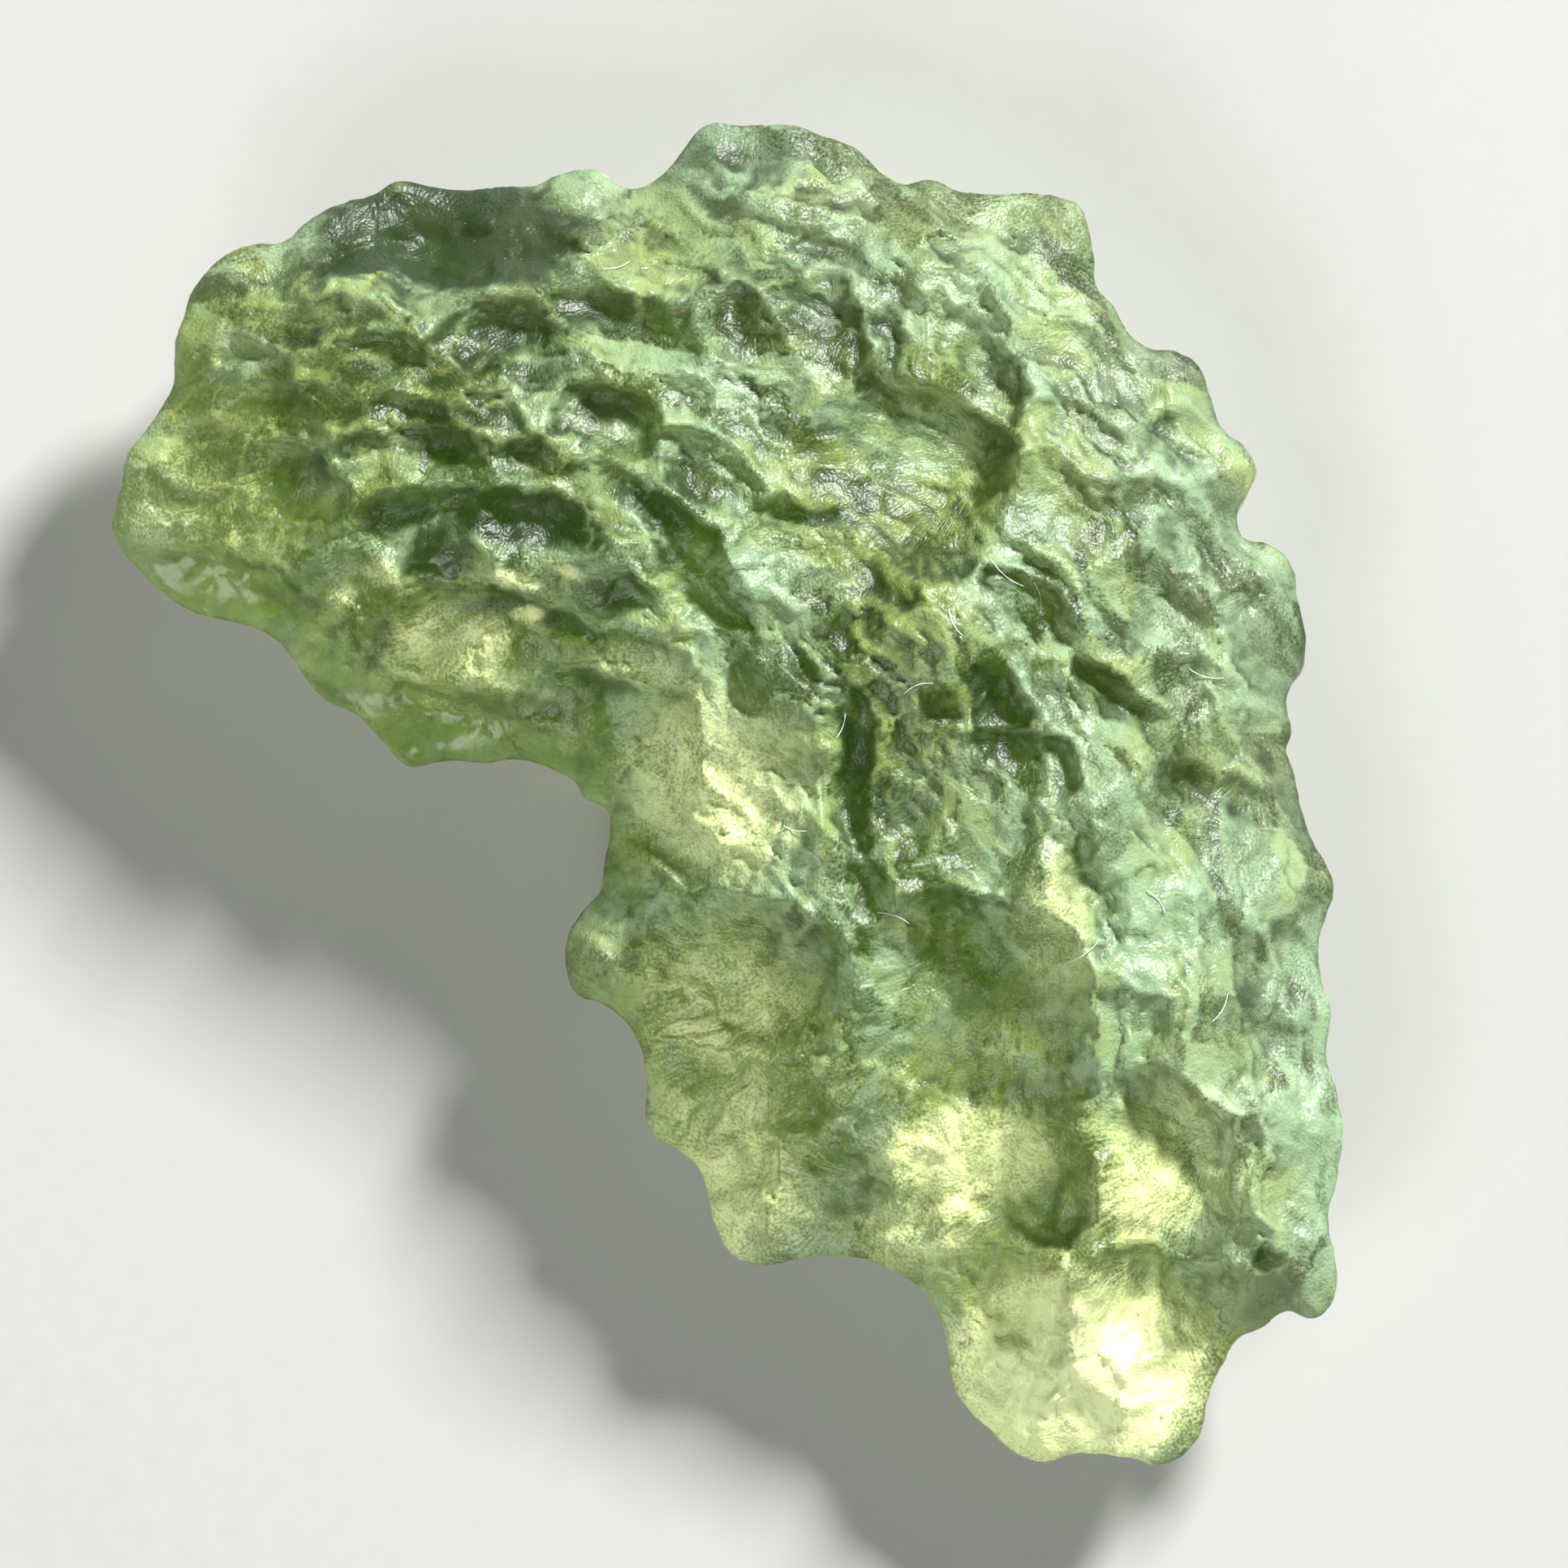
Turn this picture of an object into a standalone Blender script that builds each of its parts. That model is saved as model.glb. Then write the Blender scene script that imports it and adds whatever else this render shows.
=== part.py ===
"""Moldavite: one piece of natural green glass, deeply etched, lying flat on its back.

Metres, +Z up. The broad face looks up, +Y runs towards the wide end and -Y towards the
tongue. The origin is under the middle of the stone, on the surface that it rests on.
"""

import math
from typing import NamedTuple

import bmesh
import bpy
import numpy as np
from mathutils import Matrix, Vector, kdtree, noise

MM = 0.001

# Driving dimensions
LONGEST_SPAN = 30.0 * MM
RIM_THICKNESS = 0.7 * MM
RIM_REACH = 4.2 * MM
RIM_SHARE = 0.45
RIM_POWER = 2.2
BLANK_THICKNESS = 1.0 * MM
SKIN_VOXEL = 0.2 * MM
FINAL_TRIANGLES = 9400

# The outline and the relief are placed in photograph pixels, y downwards
LONGEST_SPAN_PX = 1880.0
MIDDLE_PX = (895.5, 979.5)
PX = LONGEST_SPAN / LONGEST_SPAN_PX

OUTLINE_PX = (
    # left end, from its tip upwards
    (137, 650), (142, 625), (150, 592), (158, 556), (184, 525), (205, 493), (216, 473), (216, 445),
    (219, 412), (229, 393), (233, 370), (252, 340), (280, 314), (318, 300), (350, 298),
    # upper edge, left to right
    (378, 274), (425, 248), (458, 240), (490, 222), (520, 226), (560, 232), (625, 229), (652, 228),
    (690, 213), (732, 207), (755, 221), (777, 231), (802, 223), (832, 196), (850, 172), (870, 153),
    (920, 154), (970, 152), (1012, 165), (1050, 179), (1078, 203), (1112, 225), (1148, 219),
    (1180, 234), (1225, 238), (1275, 236), (1312, 244), (1330, 253),
    # right edge, downwards over its lobes
    (1342, 285), (1348, 318), (1350, 350), (1372, 376), (1390, 408), (1412, 427), (1455, 434),
    (1480, 454), (1492, 490), (1506, 527), (1535, 550), (1548, 575), (1540, 604), (1525, 636),
    (1534, 661), (1568, 670), (1591, 694), (1600, 735), (1610, 785), (1608, 820), (1590, 848),
    (1588, 873), (1593, 900), (1587, 924), (1598, 955), (1605, 992), (1616, 1030), (1638, 1067),
    (1646, 1092), (1634, 1133), (1625, 1172), (1629, 1205), (1641, 1247), (1635, 1300),
    (1648, 1344), (1654, 1405), (1646, 1455), (1636, 1505), (1646, 1555), (1647, 1585),
    (1636, 1612), (1618, 1624), (1586, 1614), (1560, 1634),
    # tongue, clockwise
    (1530, 1648), (1508, 1682), (1491, 1722), (1480, 1768), (1456, 1796), (1428, 1807),
    (1398, 1799), (1325, 1794), (1288, 1805), (1252, 1793), (1220, 1763), (1187, 1730),
    (1172, 1697), (1170, 1665), (1157, 1625), (1135, 1589), (1102, 1567), (1072, 1554),
    # lower left edge, upwards
    (1015, 1548), (980, 1552), (943, 1561), (905, 1549), (884, 1519), (874, 1483), (864, 1445),
    (840, 1420), (808, 1402), (796, 1380), (797, 1340), (793, 1305), (775, 1265), (745, 1238),
    (712, 1225), (699, 1203), (700, 1153), (716, 1125), (740, 1096), (744, 1065), (751, 1025),
    (748, 998), (720, 982), (710, 966), (685, 949),
    # the bay and back to the left end
    (640, 935), (600, 939), (550, 936), (500, 941), (472, 914), (440, 881), (402, 863), (378, 838),
    (360, 810), (332, 782), (297, 767), (245, 756), (205, 733), (168, 698), (148, 676),
)
OUTLINE_STEPS = 6


class Station(NamedTuple):
    """Height of the body at a place: pixels, then millimetres for the top and the underside."""

    x: float
    y: float
    top: float
    under: float


STATIONS = (
    Station(200, 600, 5.2, 1.8), Station(330, 420, 6.0, 1.4), Station(430, 350, 6.6, 1.3),
    Station(520, 290, 5.4, 1.8), Station(480, 450, 6.6, 0.9), Station(600, 360, 6.6, 1.2),
    Station(600, 600, 6.9, 0.6), Station(450, 720, 6.4, 0.9), Station(470, 850, 5.0, 1.6),
    Station(600, 830, 6.0, 0.9), Station(760, 400, 6.9, 0.7), Station(760, 260, 6.1, 1.4),
    Station(800, 650, 7.3, 0.5), Station(950, 230, 5.8, 1.6), Station(1000, 500, 6.5, 0.5),
    Station(1150, 330, 6.3, 1.0), Station(1290, 300, 5.6, 1.4), Station(1430, 520, 5.6, 1.3),
    Station(1130, 780, 7.2, 0.4), Station(850, 950, 6.6, 0.7), Station(1300, 700, 6.6, 0.6),
    Station(1510, 740, 5.5, 1.2), Station(1300, 1000, 7.0, 0.4), Station(1500, 950, 5.8, 0.9),
    Station(1020, 1100, 6.7, 0.5), Station(850, 1220, 5.4, 1.0), Station(1280, 1230, 6.9, 0.5),
    Station(1450, 1220, 6.5, 0.7), Station(1590, 1230, 5.2, 1.3), Station(980, 1480, 4.4, 1.3),
    Station(1180, 1420, 5.4, 0.9), Station(1400, 1430, 5.8, 0.8), Station(1560, 1480, 5.2, 1.1),
    Station(1230, 1640, 3.7, 1.5), Station(1420, 1640, 3.7, 1.5), Station(1330, 1560, 4.9, 1.1),
)
STATION_BLEND_PX = 95.0
STATION_CORE = 0.3

# The rim wanders up and down: how far in mm, over what size in pixels, and its noise layer
RIM_WANDER = (0.9, 310.0, 40.5)


class Scoop(NamedTuple):
    """A concave etch scar: centre, half width and half height in pixels, turn in degrees
    clockwise, depth in millimetres, and the side where its wall is steep, in degrees
    anticlockwise from the right.
    """

    x: float
    y: float
    wide: float
    high: float
    turn: float
    depth: float
    steep: float


SCOOPS = (
    # dark facets along the upper left edge
    Scoop(560, 282, 95, 62, 12, 0.55, 35), Scoop(450, 285, 70, 50, -30, 0.35, 35),
    Scoop(400, 300, 60, 35, -35, 0.25, 50), Scoop(330, 355, 66, 52, -20, 0.30, 65),
    Scoop(650, 300, 60, 48, 0, 0.20, -40), Scoop(270, 395, 45, 60, 20, 0.20, 80),
    Scoop(700, 250, 62, 36, -15, 0.20, 0),
    # rows of scoops down the left shoulder
    Scoop(370, 405, 95, 40, 8, 0.20, 65), Scoop(540, 365, 110, 26, 2, 0.15, 65),
    Scoop(640, 440, 98, 58, 18, 0.50, 65), Scoop(480, 465, 92, 44, 0, 0.30, 65),
    Scoop(285, 470, 72, 40, -4, 0.25, 65), Scoop(325, 530, 70, 48, -12, 0.25, 70),
    Scoop(520, 520, 62, 34, 10, 0.25, 75), Scoop(400, 510, 48, 32, 5, 0.15, 70),
    Scoop(545, 572, 66, 46, 14, 0.40, 75), Scoop(460, 575, 50, 36, 8, 0.30, 70),
    Scoop(355, 625, 76, 66, -8, 0.40, 55), Scoop(225, 575, 78, 50, -12, 0.20, 60),
    Scoop(245, 645, 72, 44, -8, 0.20, 60), Scoop(180, 640, 40, 60, 5, 0.15, 0),
    Scoop(600, 520, 48, 34, 20, 0.20, 65), Scoop(640, 570, 46, 38, 10, 0.25, 70),
    # smooth conchoidal chips on the lower left rim
    Scoop(262, 722, 112, 40, 14, 0.35, 60), Scoop(545, 905, 118, 52, 14, 0.45, 65),
    Scoop(440, 850, 60, 34, 30, 0.25, 0), Scoop(400, 790, 50, 36, 25, 0.20, 0),
    # rough band above the bay
    Scoop(515, 655, 92, 48, -4, 0.40, 75), Scoop(650, 660, 84, 50, -6, 0.45, 75),
    Scoop(540, 705, 52, 34, 0, 0.20, 60), Scoop(560, 780, 92, 56, -6, 0.30, 65),
    Scoop(440, 720, 60, 42, 10, 0.20, 65), Scoop(660, 800, 74, 56, -16, 0.25, 65),
    Scoop(700, 720, 60, 36, 6, 0.20, 65), Scoop(740, 620, 62, 44, 20, 0.30, 70),
    Scoop(690, 880, 76, 38, -24, 0.25, 60),
    # top lobe and the slope below it
    Scoop(895, 195, 62, 46, -20, 0.25, 55), Scoop(990, 200, 62, 34, 8, 0.15, 50),
    Scoop(820, 260, 82, 34, -6, 0.15, 50), Scoop(900, 300, 96, 36, 6, 0.15, 65),
    Scoop(690, 345, 60, 30, 14, 0.20, 65), Scoop(765, 418, 96, 62, 16, 0.55, 65),
    Scoop(850, 350, 52, 30, 12, 0.20, 70), Scoop(910, 420, 56, 66, -8, 0.35, 45),
    # upright flutes and the broad hollow in the middle
    Scoop(1000, 430, 56, 92, 4, 0.40, 20), Scoop(1092, 430, 58, 100, -10, 0.25, 10),
    Scoop(1175, 450, 66, 88, -12, 0.40, 10), Scoop(1000, 330, 70, 30, 10, 0.15, 65),
    Scoop(750, 545, 64, 56, 12, 0.45, 65), Scoop(845, 500, 40, 26, 20, 0.25, 65),
    Scoop(700, 470, 52, 30, 16, 0.20, 65), Scoop(860, 590, 74, 42, 30, 0.40, 55),
    Scoop(930, 520, 82, 78, 20, 0.25, 40), Scoop(1085, 590, 140, 112, 16, 0.75, 10),
    Scoop(1140, 560, 82, 60, 10, 0.25, 25), Scoop(860, 690, 92, 34, 48, 0.40, 50),
    Scoop(790, 640, 42, 34, 20, 0.20, 65), Scoop(870, 745, 72, 34, 40, 0.35, 55),
    Scoop(770, 740, 58, 30, 20, 0.25, 60),
    # smooth plate and rough lobes of the upper right
    Scoop(1110, 285, 96, 40, 10, 0.15, 50), Scoop(1240, 320, 112, 78, 12, 0.25, 55),
    Scoop(1320, 300, 36, 50, 10, 0.15, 0), Scoop(1300, 460, 72, 50, 16, 0.20, 60),
    Scoop(1400, 480, 66, 44, 14, 0.20, 60), Scoop(1320, 545, 76, 40, 10, 0.20, 65),
    Scoop(1440, 560, 62, 48, 14, 0.20, 50), Scoop(1295, 645, 88, 66, 22, 0.45, 65),
    Scoop(1395, 640, 50, 40, 20, 0.20, 65), Scoop(1395, 765, 88, 66, 34, 0.30, 35),
    Scoop(1460, 690, 56, 40, 30, 0.20, 50), Scoop(1545, 700, 46, 44, 0, 0.20, 60),
    Scoop(1545, 800, 62, 66, 0, 0.25, 60), Scoop(1455, 875, 62, 50, 30, 0.25, 70),
    Scoop(1530, 930, 46, 40, 0, 0.20, 60),
    # slanting band down the right side
    Scoop(1290, 770, 92, 26, 42, 0.30, 40), Scoop(1400, 900, 108, 28, 52, 0.35, 30),
    Scoop(1490, 990, 82, 34, 30, 0.30, 65), Scoop(1270, 705, 70, 18, 40, 0.20, 40),
    # centre, round the domed knob
    Scoop(1025, 720, 84, 70, 20, 0.25, 35), Scoop(960, 650, 52, 32, 20, 0.25, 65),
    Scoop(1040, 960, 36, 100, -6, 0.45, 0), Scoop(1112, 960, 44, 92, 0, 0.35, 0),
    Scoop(905, 830, 30, 60, -40, 0.25, 0), Scoop(1220, 870, 40, 56, -20, 0.40, 40),
    Scoop(1235, 935, 44, 42, 0, 0.45, 30), Scoop(1285, 945, 34, 34, 0, 0.25, 35),
    Scoop(1190, 1000, 56, 76, -22, 0.25, 0), Scoop(1160, 900, 36, 44, 0, 0.20, 35),
    # waist, beside the bay
    Scoop(800, 930, 62, 92, -16, 0.30, 60), Scoop(815, 1040, 52, 60, -4, 0.20, 35),
    Scoop(925, 950, 78, 92, -36, 0.20, -20), Scoop(930, 1075, 60, 42, 10, 0.20, 60),
    Scoop(760, 1170, 44, 44, 0, 0.15, 0),
    # dished scoops of the lower left
    Scoop(900, 1205, 132, 98, 10, 0.55, 15), Scoop(865, 1350, 80, 58, 14, 0.35, 40),
    Scoop(975, 1360, 44, 36, 20, 0.25, 0), Scoop(910, 1445, 48, 60, 10, 0.25, 20),
    Scoop(1005, 1485, 82, 62, -10, 0.30, 30), Scoop(900, 1520, 40, 40, 0, 0.15, 0),
    # the round scoop of the lower centre and the hollow under it
    Scoop(1070, 1100, 40, 36, 10, 0.30, 65), Scoop(1180, 1275, 150, 158, 0, 0.80, 50),
    Scoop(1215, 1445, 112, 92, 16, 0.50, 5), Scoop(1110, 1420, 72, 70, 0, 0.20, 0),
    Scoop(1245, 1205, 48, 48, 0, 0.20, 0), Scoop(1100, 1500, 82, 34, -24, 0.20, 50),
    # lobes of the lower right
    Scoop(1330, 1100, 50, 80, -20, 0.20, 0), Scoop(1450, 1060, 96, 66, 30, 0.20, 25),
    Scoop(1375, 1285, 56, 58, 0, 0.25, 40), Scoop(1475, 1170, 72, 66, 20, 0.20, 50),
    Scoop(1590, 1080, 52, 50, 0, 0.15, 50), Scoop(1575, 1200, 60, 60, 0, 0.20, 50),
    Scoop(1520, 1290, 66, 60, 20, 0.20, 25), Scoop(1410, 1440, 98, 112, -6, 0.60, 20),
    Scoop(1500, 1430, 46, 52, 0, 0.25, 15), Scoop(1600, 1330, 50, 60, 0, 0.20, 40),
    Scoop(1600, 1450, 46, 60, 0, 0.20, 0), Scoop(1548, 1546, 26, 18, 10, 0.30, 0),
    Scoop(1600, 1570, 40, 40, 0, 0.20, 0), Scoop(1500, 1520, 60, 30, 10, 0.20, 60),
    # thin tongue
    Scoop(1232, 1610, 82, 96, -10, 0.40, 30), Scoop(1245, 1720, 60, 62, 0, 0.20, 0),
    Scoop(1425, 1625, 92, 88, 8, 0.40, 95), Scoop(1420, 1730, 74, 56, 0, 0.20, 0),
    Scoop(1340, 1760, 46, 36, 0, 0.20, 0),
)


class Lump(NamedTuple):
    """A rounded raised form: centre, half width, half height, turn and height as in a scoop."""

    x: float
    y: float
    wide: float
    high: float
    turn: float
    height: float


LUMPS = (
    Lump(1150, 780, 84, 100, -8, 0.50), Lump(980, 880, 34, 128, -34, 0.35),
    Lump(960, 835, 26, 76, -28, 0.20), Lump(1220, 740, 30, 70, -48, 0.30),
    Lump(1010, 745, 52, 44, 0, 0.20), Lump(1125, 1100, 38, 30, 10, 0.25),
    Lump(1172, 1092, 28, 24, 0, 0.20), Lump(495, 278, 30, 24, 0, 0.25),
    Lump(1150, 460, 44, 40, 0, 0.20), Lump(718, 1170, 40, 40, 0, 0.25),
    Lump(1300, 1150, 54, 128, -14, 0.35), Lump(1330, 1640, 36, 120, 0, 0.25),
)


class Ledge(NamedTuple):
    """A step along a line, high on the left of travel: height in mm, reach and face in pixels."""

    line: tuple
    height: float
    reach: float
    face: float


LEDGES = (
    # right-hand wall of the broad hollow
    Ledge(((1222, 415), (1243, 480), (1243, 530), (1225, 575), (1213, 630), (1205, 690)), 0.7, 85, 14),
    # wall between the round scoop and the lower right lobe
    Ledge(((1318, 1250), (1328, 1330), (1318, 1400), (1318, 1470), (1330, 1545)), 0.6, 80, 16),
    # stair of the lower right lobe
    Ledge(((1405, 1330), (1450, 1370), (1465, 1400), (1475, 1440), (1500, 1470), (1540, 1475),
           (1555, 1530)), 0.5, 55, 12),
    # long slanting plate, above the round scoop
    Ledge(((1150, 950), (1170, 990), (1210, 1050), (1240, 1080), (1275, 1130), (1285, 1215)),
          0.5, 65, 16),
    # under the broad hollow, and the stripe below it
    Ledge(((840, 550), (880, 598), (930, 620), (985, 632), (1070, 655)), 0.6, 60, 16),
    Ledge(((790, 630), (880, 690), (925, 745), (960, 800)), 0.5, 50, 16),
    # long groove down the right side
    Ledge(((1270, 715), (1340, 820), (1400, 900), (1440, 950), (1510, 1005)), 0.45, 55, 14),
    # crest under the dark facets of the upper left
    Ledge(((660, 352), (560, 350), (500, 362), (450, 357), (400, 340), (325, 300)), 0.6, 60, 18),
    Ledge(((430, 395), (500, 378), (650, 382), (700, 420)), 0.3, 40, 14),
    Ledge(((215, 470), (300, 478), (350, 515)), 0.25, 40, 14),
    # right of the rough lobes
    Ledge(((1320, 600), (1400, 640), (1420, 690), (1475, 745)), 0.35, 45, 12),
    # walls of the upright flutes
    Ledge(((1106, 365), (1118, 440), (1108, 525)), 0.4, 50, 14),
    Ledge(((1000, 330), (1075, 395), (1110, 370), (1170, 385), (1232, 430)), 0.35, 45, 14),
    # dark groove left of the flat green stretch, high on its left side
    Ledge(((1040, 1060), (1045, 900), (1025, 800)), 0.35, 40, 14),
    # brow above the tongue
    Ledge(((1510, 1548), (1380, 1525), (1330, 1545), (1180, 1480), (1040, 1540)), 0.45, 60, 18),
)

# Every scoop reaches this much further than stated, has this bowl and leans to its steep side,
# and all relief fades towards the rim
SCOOP_SPREAD = 1.2
BOWL_POWER = 0.8
WIPING_DEPTH = 0.6
RELIEF_REACH_PX = 60.0
LEAST_RELIEF = 0.15

# Etching waves its outlines: (how far, over what size, in pixels, and which noise layer)
WAVES = ((20.0, 90.0, 1.5), (9.0, 34.0, 3.5), (3.5, 14.0, 9.5))
WAVE_LAYERS_APART = 6.0

# Small scoops everywhere, drawn out along circles about this centre
FLOW_CENTRE_PX = (430.0, 1500.0)
FLOW_RADIUS_PX = 900.0


class Grain(NamedTuple):
    """Cells of small scoops: length and width in pixels, ridge height in mm, and its layer."""

    length: float
    width: float
    height: float
    layer: float


TOP_GRAIN = (Grain(120, 62, 0.40, 0.5),)
UNDER_GRAIN = (Grain(260, 190, 0.85, 20.5), Grain(110, 70, 0.35, 24.5))

# The worn flat that it rests on, under its centre of mass: x, y and radius in pixels, and how
# steeply the underside rises round it
REST_PX = (1050.0, 860.0, 105.0)
REST_RISE = 0.5

GLASS_COLOUR = (0.30, 0.38, 0.13, 1.0)
GLASS_ROUGHNESS = 0.3
GLASS_IOR = 1.49


def clear_scene():
    """Removes whatever the scene holds."""
    for thing in list(bpy.data.objects):
        bpy.data.objects.remove(thing, do_unlink=True)


def make_material(name):
    """Clear green glass with an etched skin."""
    material = bpy.data.materials.new(name)
    material.use_nodes = True
    shader = material.node_tree.nodes["Principled BSDF"]
    shader.inputs["Base Color"].default_value = GLASS_COLOUR
    shader.inputs["Roughness"].default_value = GLASS_ROUGHNESS
    shader.inputs["Metallic"].default_value = 0.0
    shader.inputs["IOR"].default_value = GLASS_IOR
    shader.inputs["Transmission Weight"].default_value = 1.0
    return material


def make_blank(name):
    """The outline as a smooth closed curve, extruded into a plate that stands on z = 0."""
    curve = bpy.data.curves.new(name, "CURVE")
    curve.dimensions = "2D"
    curve.fill_mode = "BOTH"
    curve.extrude = BLANK_THICKNESS / 2
    curve.resolution_u = OUTLINE_STEPS
    spline = curve.splines.new("BEZIER")
    spline.bezier_points.add(len(OUTLINE_PX) - 1)
    for point, (x, y) in zip(spline.bezier_points, OUTLINE_PX):
        point.co = ((x - MIDDLE_PX[0]) * PX, (MIDDLE_PX[1] - y) * PX, BLANK_THICKNESS / 2)
        point.handle_left_type = point.handle_right_type = "AUTO"
    spline.use_cyclic_u = True
    blank = bpy.data.objects.new(name, curve)
    bpy.context.scene.collection.objects.link(blank)
    return blank


def as_mesh(thing):
    """The evaluated object as a plain mesh; the object it came from is removed."""
    bpy.context.view_layer.update()
    evaluated = thing.evaluated_get(bpy.context.evaluated_depsgraph_get())
    mesh = bpy.data.meshes.new_from_object(evaluated)
    name = thing.name
    bpy.data.objects.remove(thing, do_unlink=True)
    fresh = bpy.data.objects.new(name, mesh)
    bpy.context.scene.collection.objects.link(fresh)
    return fresh


def remesh(thing, voxel):
    """The object with an even skin of squares of this size."""
    even = thing.modifiers.new("Even skin", "REMESH")
    even.mode = "VOXEL"
    even.voxel_size = voxel
    even.adaptivity = 0.0
    return as_mesh(thing)


def outline_distance(x, y):
    """How far each point, in pixels, is from the outline's smooth curve."""
    points = np.array(OUTLINE_PX, float)
    before, after, beyond = (np.roll(points, shift, 0) for shift in (1, -1, -2))
    line = []
    for t in np.arange(OUTLINE_STEPS) / OUTLINE_STEPS:
        line.append(0.5 * (2 * points + (after - before) * t
                           + (2 * before - 5 * points + 4 * after - beyond) * t ** 2
                           + (3 * points - before - 3 * after + beyond) * t ** 3))
    line = np.concatenate(line)
    tree = kdtree.KDTree(len(line))
    for i, (px, py) in enumerate(line):
        tree.insert((px, py, 0), i)
    tree.balance()
    return np.array([tree.find((px, py, 0))[2] for px, py in zip(x, y)])


def waved(x, y):
    """The points moved by noise, so that no scar keeps a drawn outline."""
    moved_x, moved_y = x.copy(), y.copy()
    for far, size, layer in WAVES:
        for i, (px, py) in enumerate(zip(x, y)):
            moved_x[i] += far * noise.noise(Vector((px / size, py / size, layer)))
            moved_y[i] += far * noise.noise(Vector((px / size, py / size, layer + WAVE_LAYERS_APART)))
    return moved_x, moved_y


def rim_wander(x, y):
    """How far the rim stands above or below its middle level, in mm."""
    far, size, layer = RIM_WANDER
    return far * np.array([noise.noise(Vector((px / size, py / size, layer))) for px, py in zip(x, y)])


def body_heights(x, y):
    """Top and underside of the smooth body, in mm, blended from the stations."""
    weight, top, under = 0.0, 0.0, 0.0
    for station in STATIONS:
        square = ((x - station.x) ** 2 + (y - station.y) ** 2) / STATION_BLEND_PX ** 2
        near = 1 / (square + STATION_CORE) ** 2
        weight, top, under = weight + near, top + near * station.top, under + near * station.under
    return top / weight, under / weight


def in_ellipse(x, y, form):
    """The points in the form's own axes, where its edge is at distance 1."""
    turn = math.radians(form.turn)
    dx, dy = x - form.x, y - form.y
    u = (dx * math.cos(turn) + dy * math.sin(turn)) / form.wide
    v = (dy * math.cos(turn) - dx * math.sin(turn)) / form.high
    return u, v


def scoop_depth(x, y):
    """Depth of the deepest scoop at each point, so that neighbours meet in a crisp ridge, and
    how far the scoops have wiped away the small ones that were there before them.
    """
    depth = np.zeros_like(x)
    wiped = np.zeros_like(x)
    for scoop in SCOOPS:
        u, v = in_ellipse(x, y, scoop)
        steep = math.radians(scoop.steep)
        towards = ((x - scoop.x) * math.cos(steep) / scoop.wide
                   - (y - scoop.y) * math.sin(steep) / scoop.high)
        bowl = np.clip(1 - (u * u + v * v) / SCOOP_SPREAD ** 2, 0, None) ** BOWL_POWER
        lean = np.clip(1 + towards, 0, 2)
        depth = np.maximum(depth, scoop.depth * bowl * lean)
        wiped = np.maximum(wiped, bowl * min(scoop.depth / WIPING_DEPTH, 1))
    return depth, wiped


def lump_height(x, y):
    """Height of the highest lump at each point."""
    height = np.zeros_like(x)
    for lump in LUMPS:
        u, v = in_ellipse(x, y, lump)
        height = np.maximum(height, lump.height * np.clip(1 - u * u - v * v, 0, None))
    return height


def ledge_height(x, y):
    """What the ledges add: half a step up on one side and half a step down on the other."""
    height = np.zeros_like(x)
    for ledge in LEDGES:
        line = np.array(ledge.line, float)
        legs = line[1:] - line[:-1]
        lengths = np.hypot(legs[:, 0], legs[:, 1])
        starts = np.concatenate(([0.0], np.cumsum(lengths)))
        near = np.full(x.shape, np.inf)
        side = np.zeros_like(x)
        along = np.zeros_like(x)
        for (ax, ay), (lx, ly), length, start in zip(line, legs, lengths, starts):
            t = np.clip(((x - ax) * lx + (y - ay) * ly) / length ** 2, 0, 1)
            away = np.hypot(x - ax - t * lx, y - ay - t * ly)
            closer = away < near
            near = np.where(closer, away, near)
            side = np.where(closer, np.sign(ly * (x - ax) - lx * (y - ay)), side)
            along = np.where(closer, (start + t * length) / starts[-1], along)
        taper = np.sin(np.pi * along) ** 0.5
        step = np.tanh(side * near / ledge.face) * np.exp(-near / ledge.reach)
        height += 0.5 * ledge.height * step * taper
    return height


def grain_height(x, y, grains):
    """Ridges between small scoops that run along the flow of the stone."""
    dx, dy = x - FLOW_CENTRE_PX[0], y - FLOW_CENTRE_PX[1]
    along = np.arctan2(dy, dx) * FLOW_RADIUS_PX
    across = np.hypot(dx, dy)
    height = np.zeros_like(x)
    for grain in grains:
        for i, (a, b) in enumerate(zip(along / grain.length, across / grain.width)):
            height[i] += grain.height * noise.voronoi(Vector((a, b, grain.layer)))[0][0] ** 2
    return height


def rest_height(x, y):
    """Height of the worn bulge over each point; it passes z = 0 at its radius."""
    rest_x, rest_y, radius = REST_PX
    return REST_RISE * (((x - rest_x) ** 2 + (y - rest_y) ** 2) / radius ** 2 - 1)


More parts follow.
